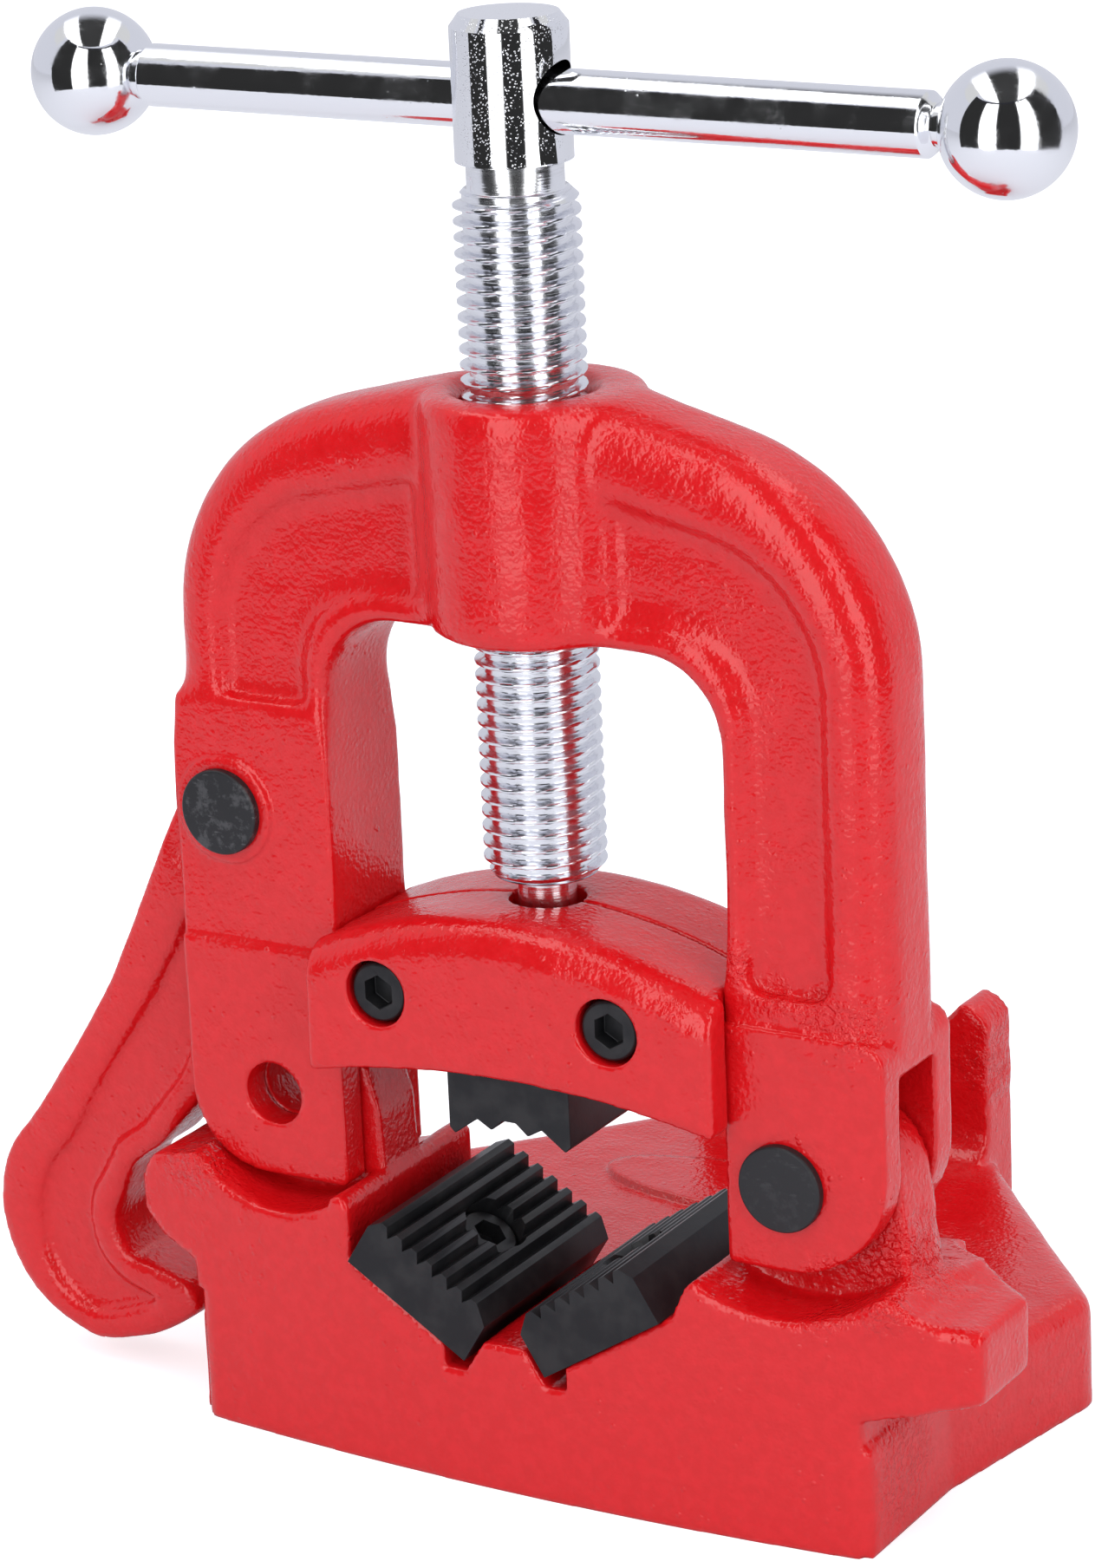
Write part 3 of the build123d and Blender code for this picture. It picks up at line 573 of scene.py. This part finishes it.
MOUTH_X = ((-104.0, 0.0), (-88.0, 1.0), (-87.0, 1.0), (-78.0, 0.0))
MOUTH_Z = ((12.0, 0.0), (24.0, 1.0), (28.0, 1.0), (52.0, 0.0))
MOUTH_CLOSES = 2.6
THICKER_BEHIND, THICKER_IN_FRONT = 0.5, 0.3


def graph(value, pairs):
    """The pairs read as a graph, level beyond its ends."""
    return np.interp(value, *zip(*pairs))


def stout_hook(points):
    """The hook as cast: thick below its eye, with a wide rim, a low toe and a closed mouth."""
    x, y, z = points.T / MM
    rim = graph(z, RIM_INWARDS) * graph(x - least_along(x, z), RIM_SHARE)
    toe = graph(x, TOE_DROP) * graph(z - least_along(z, x), TOE_SHARE) * graph(z, TOE_ONLY)
    mouth = MOUTH_CLOSES * graph(x, MOUTH_X) * graph(z, MOUTH_Z)
    thick = 1.0 + graph(x, LOWER_SHARE) * np.where(y > 0.0, THICKER_BEHIND, THICKER_IN_FRONT)
    return np.stack((x + mouth + rim, y * thick, z - toe), axis=1) * MM


def ground_piece(prefix, node, body, slot, finish, edge, segments=2):
    """A machined piece: the node's own shape with its edges just broken."""
    name = prefix + node
    mesh = mesh_of(without_flat_edges(welded(node)), name)
    smooth_shaded(mesh)
    piece = new_piece(name, mesh, body, finish, [node])
    bevel = piece.modifiers.new("broken_edges", "BEVEL")
    bevel.width = edge
    bevel.segments = segments
    bevel.limit_method = "ANGLE"
    bevel.angle_limit = math.radians(32.0)
    bevel.use_clamp_overlap = True
    bevel.harden_normals = True
    return piece


def turned_mesh(name, outline, axis_point, axis, sides):
    """A closed turned shape: the outline's (along, radius) pairs start and end on the axis."""
    along = Vector(axis).normalized()
    across = along.orthogonal().normalized()
    third = along.cross(across)
    skin = bmesh.new()
    rings = []
    for distance, radius in outline:
        centre = Vector(axis_point) + along * distance
        ring = []
        for side in range(sides if radius > ON_AXIS else 1):
            turn = math.tau * side / sides
            spoke = across * math.cos(turn) + third * math.sin(turn)
            ring.append(skin.verts.new(centre + spoke * radius))
        rings.append(ring)
    for lower, upper in zip(rings, rings[1:]):
        for side in range(sides):
            after = (side + 1) % sides
            if len(lower) == 1:
                skin.faces.new((lower[0], upper[after], upper[side]))
            elif len(upper) == 1:
                skin.faces.new((lower[side], lower[after], upper[0]))
            else:
                skin.faces.new((lower[side], lower[after], upper[after], upper[side]))
    bmesh.ops.recalc_face_normals(skin, faces=skin.faces)
    return mesh_of(skin, name)


# Where the pins run and the spare hinge hole, in millimetres; each is a rod along y
HINGE = (47.7, None, 58.9)
SPARE_HINGE = (-47.7, None, 58.9)
LATCH = (-54.3, None, 107.2)

# How soft the castings' edges are round these spots, in millimetres: (centre, reach, softness)
BASE_SOFTNESS = (
    ((None, 64.0, None), 37.0, 0.9),
    ((0.0, 66.0, None), 31.0, 0.08),
    ((-46.0, 50.0, None), 6.0, 0.1),
    ((46.0, 50.0, None), 6.0, 0.1),
    ((0.0, 84.0, None), 6.0, 0.1),
    ((None, 102.0, None), 7.0, 0.3),
    ((64.0, -20.0, None), 5.0, 0.95),
    ((86.0, -9.0, 32.0), 13.0, 0.9),
    (HINGE, 7.5, 0.05),
    (SPARE_HINGE, 7.5, 0.05),
    ((None, None, 0.0), 1.5, 0.15),
)
YOKE_SOFTNESS = (
    ((None, None, 58.0), 32.0, 0.07),
    ((-49.0, None, 106.0), 19.0, 0.1),
    (LATCH, 11.0, 0.03),
    (HINGE, 7.5, 0.02),
    (SPARE_HINGE, 7.5, 0.015),
    ((0.0, 0.0, None), 11.5, 0.15),
)
HOOK_SOFTNESS = ((LATCH, 7.5, 0.05),)
SLIDE_SOFTNESS = (
    ((-22.2, None, 82.4), 7.0, 0.05),
    ((20.5, None, 82.4), 7.0, 0.05),
    ((None, 0.0, None), 8.0, 0.2),
)

# Where the castings are lumpy, in millimetres: (centre, reach, height)
BASE_FLASH = (
    ((64.0, 0.0, 44.0), 9.0, 0.35),
    ((67.0, -17.0, 44.0), 5.0, 0.2),
    ((30.0, 104.0, 38.0), 9.0, 0.4),
)
YOKE_FLASH = (((56.0, -11.5, 86.0), 9.0, 0.15),)


# Operators


class VISE_OT_castings(bpy.types.Operator):
    """Make the painted castings: base, yoke, latch hook and both halves of the slide"""

    bl_idname = "vise.castings"
    bl_label = "Painted Castings"

    def execute(self, context):
        # node, body, spacing of the skin, rounds of rounding, seed, spots of softness
        cast_piece(
            "base", "base", 0.96 * MM, 8, 11, BASE_SOFTNESS, softness=0.3, flash=BASE_FLASH
        )
        cast_piece("yoke", "yoke", 0.76 * MM, 30, 23, YOKE_SOFTNESS, flash=YOKE_FLASH)
        cast_piece("latch_hook", "latch", 0.55 * MM, 26, 37, HOOK_SOFTNESS, shape=stout_hook)
        cast_piece("slide_front", "slide", 0.5 * MM, 14, 41, SLIDE_SOFTNESS)
        cast_piece("slide_rear", "slide", 0.5 * MM, 14, 43, SLIDE_SOFTNESS)
        return {"FINISHED"}


class VISE_OT_jaws(bpy.types.Operator):
    """Make the blackened jaws and the cap screws that hold them"""

    bl_idname = "vise.jaws"
    bl_label = "Jaws and Cap Screws"

    def execute(self, context):
        finish = ("black_oxide", "black_oxide")
        ground_piece("ground_", "upper_jaw", "slide", *finish, 0.25 * MM)
        for side in ("left", "right"):
            ground_piece("ground_", "lower_jaw_" + side, "base", *finish, 0.2 * MM)
            ground_piece("ground_", "lower_jaw_screw_" + side, "base", *finish, 0.2 * MM)
            ground_piece("ground_", "slide_screw_" + side, "slide", *finish, 0.2 * MM)
        return {"FINISHED"}


class VISE_OT_pins(bpy.types.Operator):
    """Make the hinge pin, the latch pin and their rings"""

    bl_idname = "vise.pins"
    bl_label = "Pins"

    def execute(self, context):
        for node in ("hinge_pin", "latch_pin", "hinge_pin_ring", "latch_pin_ring"):
            ground_piece("worn_", node, "yoke", "pin_steel", "dark_pin", 0.2 * MM, segments=3)
        return {"FINISHED"}


class VISE_OT_spindle(bpy.types.Operator):
    """Make the spindle, its thread wound by Geometry Nodes between neck and head"""

    bl_idname = "vise.spindle"
    bl_label = "Spindle"

    def execute(self, context):
        thread = context.scene.vise_thread
        carrier = linked("thread_carrier", bpy.data.meshes.new("thread_carrier"))
        winding = carrier.modifiers.new("winding", "NODES")
        tree = thread_tree(finish_named("turned_chrome"))
        winding.node_group = tree
        for item in tree.interface.items_tree:
            if item.name in THREAD_INPUTS:
                winding[item.identifier] = getattr(thread, THREAD_INPUTS[item.name])
        mesh = settled(carrier)
        smooth_shaded(mesh, 50.0)
        spindle_piece("spindle_thread", mesh, "turned_chrome")
        mesh = spindle_end("spindle_head", thread.high - THREAD_LAP, keep_above=True)
        spindle_piece("spindle_head", mesh, "pitted_chrome")
        mesh = spindle_end("spindle_foot", thread.low + THREAD_LAP, keep_above=False)
        spindle_piece("spindle_foot", mesh, "turned_chrome")
        return {"FINISHED"}


THREAD_LAP = 0.2 * MM  # how far the spindle's head and foot reach into the thread
THREAD_SIDES = 129  # points round the thread, the first and the last in one place
THREAD_ROWS = 16.0  # points along one pitch
THREAD_INPUTS = {
    "Bottom": "low",
    "Top": "high",
    "Crest Radius": "crest_radius",
    "Depth": "depth",
    "Pitch": "pitch",
    "Lead-in": "lead_in",
}


def spindle_piece(name, mesh, finish):
    new_piece(name, mesh, "spindle", finish, ["spindle"])


def spindle_end(name, height, keep_above):
    """The spindle's solid above or below a height, closed there."""
    skin = welded("spindle")
    bmesh.ops.bisect_plane(
        skin,
        geom=skin.verts[:] + skin.edges[:] + skin.faces[:],
        plane_co=(0.0, 0.0, height),
        plane_no=(0.0, 0.0, -1.0 if keep_above else 1.0),
        clear_outer=True,
    )
    bmesh.ops.holes_fill(skin, edges=[edge for edge in skin.edges if edge.is_boundary])
    mesh = mesh_of(without_flat_edges(skin), name)
    smooth_shaded(mesh)
    return mesh


def thread_tree(finish):
    """A tree that bends a grid round the axis and cuts one helical groove into it."""
    tree = bpy.data.node_groups.new("thread_winding", "GeometryNodeTree")
    for name in THREAD_INPUTS:
        tree.interface.new_socket(name, in_out="INPUT", socket_type="NodeSocketFloat")
    tree.interface.new_socket("Geometry", in_out="OUTPUT", socket_type="NodeSocketGeometry")
    board = Board(tree)
    sizes = tree.nodes.new("NodeGroupInput")
    bottom, top, crest, depth, pitch, lead = (
        Wire(board, sizes.outputs[name]) for name in THREAD_INPUTS
    )
    rows = ((top - bottom) / pitch * THREAD_ROWS).maths("ROUND")
    counts = {"Vertices X": THREAD_SIDES, "Vertices Y": rows}
    sheet = board.add("GeometryNodeMeshGrid", {}, {"Size X": 1.0, "Size Y": 1.0, **counts})
    x, y, _ = board.parts(board.add("GeometryNodeInputPosition"))
    around = x + 0.5
    height = bottom + (y + 0.5) * (top - bottom)
    turn = around * math.tau
    phase = abs((height / pitch - around).fraction() - 0.5) * 2.0
    groove = phase.ramp(0.4, 0.86)
    ends = (height - bottom).least(top - height)
    radius = (crest - depth * (1.0 - groove)).least(crest - lead + ends)
    radius = radius * ends.above(HAIR)  # both ends close on the axis
    bent = board.add(
        "ShaderNodeCombineXYZ",
        {},
        {0: radius * turn.maths("COSINE"), 1: radius * turn.maths("SINE"), 2: height},
    )
    skin = board.add("GeometryNodeSetPosition", {}, {"Geometry": sheet, "Position": bent})
    skin = board.add("GeometryNodeMergeByDistance", {}, {"Geometry": skin, "Distance": HAIR})
    skin = board.add("GeometryNodeRealizeInstances", {}, {"Geometry": skin})
    skin = board.add("GeometryNodeSetMaterial", {}, {"Geometry": skin, "Material": finish})
    board.add("NodeGroupOutput", {}, {0: skin})
    return tree


class VISE_OT_handle(bpy.types.Operator):
    """Make the sliding handle: a bar with a ball at each end"""

    bl_idname = "vise.handle"
    bl_label = "Handle"

    def execute(self, context):
        low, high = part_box("handle_bar")
        radius = (high.z - low.z) / 2
        outline = [(low.x, 0.0), (low.x, BAR_NECK), (BAR_LEFT, BAR_NECK)]
        outline += [(BAR_LEFT, radius - 0.6 * MM), (BAR_LEFT + 0.6 * MM, radius)]
        outline += [(BAR_RIGHT - 0.6 * MM, radius), (BAR_RIGHT, radius - 0.5 * MM)]
        outline += [(BAR_RIGHT + along * MM, neck * MM) for along, neck in RIGHT_NECK]
        outline += [(high.x, BAR_TIP), (high.x, 0.0)]
        polished_piece("handle_bar", outline, 96)
        for node in ("handle_ball_left", "handle_ball_right"):
            low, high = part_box(node)
            radius = (high.z - low.z) / 2
            centre = high.x - radius if node.endswith("right") else low.x + radius
            outline = []
            for step in range(BALL_STEPS + 1):
                turn = math.pi * step / BALL_STEPS
                outline.append((centre - radius * math.cos(turn), radius * math.sin(turn)))
            polished_piece(node, outline, 2 * BALL_STEPS)
        return {"FINISHED"}


BAR_LEFT, BAR_RIGHT = -67.0 * MM, 71.6 * MM  # where the bar's full thickness ends
BAR_NECK, BAR_TIP = 4.0 * MM, 3.9 * MM  # radius of its left and of its right end
RIGHT_NECK = ((0.5, 3.6), (0.9, 3.3), (2.2, 3.5))  # (past the right end, radius), millimetres
BALL_STEPS = 64


def polished_piece(node, outline, sides):
    """A piece of the handle: its outline, as (x, radius), turned round the bar's axis."""
    low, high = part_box(node)
    middle = (low + high) / 2
    name = "polished_" + node
    mesh = turned_mesh(name, outline, (0.0, middle.y, middle.z), (1, 0, 0), sides)
    smooth_shaded(mesh)
    new_piece(name, mesh, "handle", "bright_chrome", [node])


class VISE_OT_stage(bpy.types.Operator):
    """Set up the pale floor, the soft lights and the camera"""

    bl_idname = "vise.stage"
    bl_label = "Stage"

    def execute(self, context):
        stage = context.scene.vise_stage
        lay_floor(stage)
        stand_screen(stage)
        hang_sky(context.scene, stage)
        place_lamps(stage)
        place_camera(context.scene)
        context.scene.view_settings.view_transform = "Standard"
        return {"FINISHED"}


CAMERA_AZIMUTH = math.radians(31.494)
CAMERA_ELEVATION = math.radians(17.86)
CAMERA_ROLL = math.radians(-2.537)
CAMERA_PLACE = (0.399993, -0.649466, 0.360983)
SENSOR = 36.0
PHOTO_HEIGHT = 1808
CAMERA_LENS = 5818.48 / PHOTO_HEIGHT * SENSOR


def direction(azimuth, elevation):
    """From the object outwards: azimuth to the right of the front, elevation upwards."""
    level = math.cos(elevation)
    return Vector((math.sin(azimuth) * level, -math.cos(azimuth) * level, math.sin(elevation)))


def place_camera(scene):
    """The camera as it stood for the photograph."""
    data = bpy.data.cameras.new("photo_camera")
    data.lens = CAMERA_LENS
    data.sensor_width = SENSOR
    data.sensor_fit = "AUTO"
    data.clip_start = 0.01
    data.clip_end = 50.0
    camera = linked("photo_camera", data)
    forward = -direction(CAMERA_AZIMUTH, CAMERA_ELEVATION)
    right = Vector((math.cos(CAMERA_AZIMUTH), math.sin(CAMERA_AZIMUTH), 0.0))
    up = right.cross(forward)
    level_right = right * math.cos(CAMERA_ROLL) + up * math.sin(CAMERA_ROLL)
    level_up = up * math.cos(CAMERA_ROLL) - right * math.sin(CAMERA_ROLL)
    turn = Matrix((level_right, level_up, -forward)).transposed().to_4x4()
    camera.matrix_world = Matrix.Translation(CAMERA_PLACE) @ turn
    scene.camera = camera


def lay_floor(stage):
    """A wide pale floor, white to the camera, that keeps the object's shadow."""
    mesh = bpy.data.meshes.new("studio_floor")
    half = stage.floor_size / 2
    corners = [(-half, -half, 0), (half, -half, 0), (half, half, 0), (-half, half, 0)]
    mesh.from_pydata(corners, [], [(0, 1, 2, 3)])
    floor = linked("studio_floor", mesh)
    material = bpy.data.materials.new("studio_floor")
    board = cleared_board(material)
    glow = board.mix(board.ray("Is Camera Ray"), (0.0, 0.0, 0.0, 1.0), (1.0, 1.0, 1.0, 1.0))
    close_finish(
        board,
        Base_Color=(*stage.floor_colour, 1.0),
        Roughness=1.0,
        Specular_IOR_Level=0.0,
        Emission_Color=glow,
        Emission_Strength=stage.floor_glow,
    )
    mesh.materials.append(material)


def camera_bearing(x, y):
    """How far a direction points to the camera's right, and how far towards the camera."""
    right = x * math.cos(CAMERA_AZIMUTH) + y * math.sin(CAMERA_AZIMUTH)
    front = x * math.sin(CAMERA_AZIMUTH) - y * math.cos(CAMERA_AZIMUTH)
    return right, front


BLUR = 0.003  # half the width over which one band turns into the next


def banded(board, place, first, bands):
    """Steps of grey along a value from 0 to 1; each band is where it starts and its grey."""
    stops = [(0.0, (first, first, first))]
    shade = first
    for start, after in bands:
        stops.append((start - BLUR, (shade, shade, shade)))
        stops.append((start + BLUR, (after, after, after)))
        shade = after
    return board.add("ShaderNodeValToRGB", {"stops": stops}, {"Fac": place})


def hang_sky(scene, stage):
    """Even light on the object, and for its reflections a pale tent with a ceiling in bands."""
    world = bpy.data.worlds.new("studio")
    scene.world = world
    board = cleared_board(world)
    x, y, z = board.parts(board.add("ShaderNodeTexCoord", output="Generated"))
    right, front = camera_bearing(x, y)
    # Overhead, across the view: pale tent, lamp, dark opening, lamp, pale tent
    across = right / z.most(0.05) * 0.25 + 0.5
    ceiling = banded(board, across, 0.3, ((0.32, 1.0), (0.42, 0.02), (0.572, 1.0), (0.665, 0.3)))
    overhead = z.above(0.8).most(z.above(0.6) * (0.0 - front).above(0.0))
    tent = board.mix(overhead * front.ramp(-0.75, -0.35), (*stage.tent, 1.0), ceiling)
    bright_tent = board.add(
        "ShaderNodeVectorMath", {"operation": "SCALE"}, {0: tent, "Scale": stage.panel_glow}
    )
    fill = (stage.fill, stage.fill, stage.fill * 1.02, 1.0)
    colour = board.mix(board.ray("Is Glossy Ray"), fill, bright_tent)
    light = board.add("ShaderNodeBackground", {}, {"Color": colour})
    board.add("ShaderNodeOutputWorld", {}, {"Surface": light})


SCREEN_FROM, SCREEN_TO = -84.0, 88.0  # how far round the screen reaches, in degrees
SCREEN_STEPS = 64
SCREEN_DARK = 0.012
SCREEN_BEAM = (0.012, 0.012, 0.015, 1.0)
BEAM_HEIGHT = 0.07
# Degrees to the camera's right at which each band of the screen starts, and its grey
SCREEN_BANDS = ((-45, 1.0), (-16, SCREEN_DARK), (22, 1.0), (47, SCREEN_DARK))


def stand_screen(stage):
    """A dark screen round the front with a tall lamp on either side, only for reflections."""
    points = []
    distance = stage.screen_distance
    for step in range(SCREEN_STEPS + 1):
        degrees = SCREEN_FROM + (SCREEN_TO - SCREEN_FROM) * step / SCREEN_STEPS
        turn = math.radians(degrees) + CAMERA_AZIMUTH
        for height in (0.0, stage.screen_height):
            points.append((distance * math.sin(turn), -distance * math.cos(turn), height))
    faces = [(2 * step, 2 * step + 2, 2 * step + 3, 2 * step + 1) for step in range(SCREEN_STEPS)]
    mesh = bpy.data.meshes.new("studio_screen")
    mesh.from_pydata(points, [], faces)
    screen = linked("studio_screen", mesh)
    material, board, where = new_finish("studio_screen")
    x, y, z = board.parts(where)
    right, front = camera_bearing(x, y)
    turn = right.maths("ARCTAN2", front) / math.tau + 0.5
    bands = [(degrees / 360 + 0.5, shade) for degrees, shade in SCREEN_BANDS]
    glow = banded(board, turn, SCREEN_DARK, bands)
    glow = board.mix(z.above(stage.screen_height - BEAM_HEIGHT), glow, SCREEN_BEAM)
    surface = board.add("ShaderNodeEmission", {}, {"Color": glow, "Strength": stage.panel_glow})
    board.add("ShaderNodeOutputMaterial", {}, {"Surface": surface})
    mesh.materials.append(material)
    screen.visible_camera = False
    screen.visible_diffuse = False
    screen.visible_shadow = False
    screen.visible_transmission = False


LAMP_AIM = Vector((0.0, 0.02, 0.1))


def place_lamps(stage):
    """Two tall soft panels in front and one overhead, as far off as a product table's."""
    # Name, degrees to the camera's right, degrees up, metres away, size, power
    for name, turn, rise, distance, size, power in (
        ("left_panel", -32.0, 22.0, 1.3, (0.7, 1.1), stage.left_power),
        ("right_panel", 36.0, 18.0, 1.3, (0.6, 1.1), stage.right_power),
        ("top_panel", 0.0, 82.0, 1.2, (1.2, 1.2), stage.top_power),
    ):
        data = bpy.data.lights.new(name, "AREA")
        data.shape = "RECTANGLE"
        data.size, data.size_y = size
        data.energy = power
        lamp = linked(name, data)
        away = direction(CAMERA_AZIMUTH + math.radians(turn), math.radians(rise))
        turned = away.to_track_quat("Z", "Y").to_matrix().to_4x4()
        lamp.matrix_world = Matrix.Translation(LAMP_AIM + away * distance) @ turned
        lamp.visible_glossy = False


# Settings


class ViseLook(bpy.types.PropertyGroup):
    """Colours and surface relief of the finishes"""

    paint: bpy.props.FloatVectorProperty(
        name="Paint",
        description="Colour of the red enamel",
        subtype="COLOR",
        default=(0.68, 0.007, 0.012),
    )
    paint_deep: bpy.props.FloatVectorProperty(
        name="Deep Paint",
        description="Colour of the enamel in the hollows of its grain",
        subtype="COLOR",
        default=(0.59, 0.0045, 0.007),
    )
    paint_roughness: bpy.props.FloatProperty(
        name="Paint Roughness",
        description="How far the enamel spreads a highlight",
        default=0.16,
        min=0.0,
        max=1.0,
    )
    paint_gloss: bpy.props.FloatProperty(
        name="Paint Gloss",
        description="How strongly the enamel reflects",
        default=0.58,
        min=0.0,
        max=1.0,
    )
    cast_relief: bpy.props.FloatProperty(
        name="Cast Relief",
        description="Height of the sand grain under the paint",
        default=0.00042,
        subtype="DISTANCE",
        unit="LENGTH",
    )
    cast_swell: bpy.props.FloatProperty(
        name="Cast Swell",
        description="How far the castings' faces swell and sink",
        default=0.0001,
        subtype="DISTANCE",
        unit="LENGTH",
    )
    chrome: bpy.props.FloatVectorProperty(
        name="Chrome",
        description="Colour of the chrome plate",
        subtype="COLOR",
        default=(0.86, 0.87, 0.9),
    )
    chrome_turned: bpy.props.FloatVectorProperty(
        name="Turned Chrome",
        description="Colour of the plated thread",
        subtype="COLOR",
        default=(0.8, 0.81, 0.85),
    )
    collar: bpy.props.FloatProperty(
        name="Collar",
        description="Height up to which the spindle is turned, not pitted",
        default=0.2158,
        subtype="DISTANCE",
        unit="LENGTH",
    )
    chrome_roughness: bpy.props.FloatProperty(
        name="Chrome Roughness",
        description="Blur of the chrome's reflections",
        default=0.05,
        min=0.0,
        max=1.0,
    )
    oxide: bpy.props.FloatVectorProperty(
        name="Black Oxide",
        description="Colour of the blackened steel",
        subtype="COLOR",
        default=(0.016, 0.0165, 0.019),
    )
    oxide_worn: bpy.props.FloatVectorProperty(
        name="Handled Oxide",
        description="Colour of the blackened steel where it is handled",
        subtype="COLOR",
        default=(0.03, 0.03, 0.032),
    )
    oxide_roughness: bpy.props.FloatProperty(
        name="Oxide Roughness",
        description="Sheen of the blackened steel",
        default=0.42,
        min=0.0,
        max=1.0,
    )
    pin: bpy.props.FloatVectorProperty(
        name="Pin",
        description="Colour of the pins",
        subtype="COLOR",
        default=(0.03, 0.03, 0.033),
    )
    pin_scuffed: bpy.props.FloatVectorProperty(
        name="Scuffed Pin",
        description="Colour of the scuffs on the pins",
        subtype="COLOR",
        default=(0.1, 0.1, 0.105),
    )


class ViseThread(bpy.types.PropertyGroup):
    """Sizes of the spindle's thread"""

    low: bpy.props.FloatProperty(
        name="Bottom",
        description="Height of the thread's lower end",
        default=0.101,
        subtype="DISTANCE",
        unit="LENGTH",
    )
    high: bpy.props.FloatProperty(
        name="Top",
        description="Height of the thread's upper end",
        default=0.2115,
        subtype="DISTANCE",
        unit="LENGTH",
    )
    crest_radius: bpy.props.FloatProperty(
        name="Crest Radius",
        description="Radius over the crests",
        default=0.00992,
        subtype="DISTANCE",
        unit="LENGTH",
    )
    depth: bpy.props.FloatProperty(
        name="Depth",
        description="Depth of the groove",
        default=0.00145,
        subtype="DISTANCE",
        unit="LENGTH",
    )
    pitch: bpy.props.FloatProperty(
        name="Pitch",
        description="Travel in one turn",
        default=0.0025,
        subtype="DISTANCE",
        unit="LENGTH",
    )
    lead_in: bpy.props.FloatProperty(
        name="Lead-in",
        description="Chamfer at both ends of the thread",
        default=0.0018,
        subtype="DISTANCE",
        unit="LENGTH",
    )


class ViseStage(bpy.types.PropertyGroup):
    """Floor and lights"""

    floor_size: bpy.props.FloatProperty(
        name="Floor Size",
        description="Side of the square floor",
        default=12.0,
        subtype="DISTANCE",
        unit="LENGTH",
    )
    floor_colour: bpy.props.FloatVectorProperty(
        name="Floor Colour",
        description="Colour of the floor",
        subtype="COLOR",
        default=(0.72, 0.73, 0.78),
    )
    floor_glow: bpy.props.FloatProperty(
        name="Floor Glow",
        description="How much the floor shines by itself to the camera",
        default=0.6,
        min=0.0,
    )
    fill: bpy.props.FloatProperty(
        name="Fill", description="Light from all round", default=0.85, min=0.0
    )
    tent: bpy.props.FloatVectorProperty(
        name="Tent",
        description="Colour of the tent in reflections, next to its lamps",
        subtype="COLOR",
        default=(0.29, 0.295, 0.325),
    )
    panel_glow: bpy.props.FloatProperty(
        name="Panel Glow",
        description="Brightness of the lamps in reflections",
        default=2.4,
        min=0.0,
    )
    screen_distance: bpy.props.FloatProperty(
        name="Screen Distance",
        description="Distance of the dark screen",
        default=0.6,
        subtype="DISTANCE",
        unit="LENGTH",
    )
    screen_height: bpy.props.FloatProperty(
        name="Screen Height",
        description="Height of the dark screen",
        default=1.0,
        subtype="DISTANCE",
        unit="LENGTH",
    )
    left_power: bpy.props.FloatProperty(
        name="Left Panel", description="Power of the left panel", default=4.3, unit="POWER"
    )
    right_power: bpy.props.FloatProperty(
        name="Right Panel", description="Power of the right panel", default=4.2, unit="POWER"
    )
    top_power: bpy.props.FloatProperty(
        name="Top Panel", description="Power of the overhead panel", default=4.4, unit="POWER"
    )


class VISE_PT_sidebar(bpy.types.Panel):
    """The vise's pieces and settings"""

    bl_idname = "VISE_PT_sidebar"
    bl_label = "Yoke Pipe Vise"
    bl_space_type = "VIEW_3D"
    bl_region_type = "UI"
    bl_category = "Vise"

    def draw(self, context):
        for operator in OPERATORS:
            self.layout.operator(operator.bl_idname)
        for group in (context.scene.vise_look, context.scene.vise_thread, context.scene.vise_stage):
            box = self.layout.box()
            for name in type(group).__annotations__:
                box.prop(group, name)


OPERATORS = (
    VISE_OT_stage,
    VISE_OT_castings,
    VISE_OT_jaws,
    VISE_OT_pins,
    VISE_OT_spindle,
    VISE_OT_handle,
)
GROUPS = {"vise_look": ViseLook, "vise_thread": ViseThread, "vise_stage": ViseStage}


def register():
    for group in GROUPS.values():
        bpy.utils.register_class(group)
    for kind in (*OPERATORS, VISE_PT_sidebar):
        bpy.utils.register_class(kind)
    for name, group in GROUPS.items():
        setattr(bpy.types.Scene, name, bpy.props.PointerProperty(type=group))


def unregister():
    for name in GROUPS:
        delattr(bpy.types.Scene, name)
    for kind in (VISE_PT_sidebar, *reversed(OPERATORS), *GROUPS.values()):
        bpy.utils.unregister_class(kind)


def main():
    register()
    bpy.ops.vise.stage()
    bpy.ops.vise.castings()
    bpy.ops.vise.jaws()
    bpy.ops.vise.pins()
    bpy.ops.vise.spindle()
    bpy.ops.vise.handle()


if __name__ == "__main__":
    main()
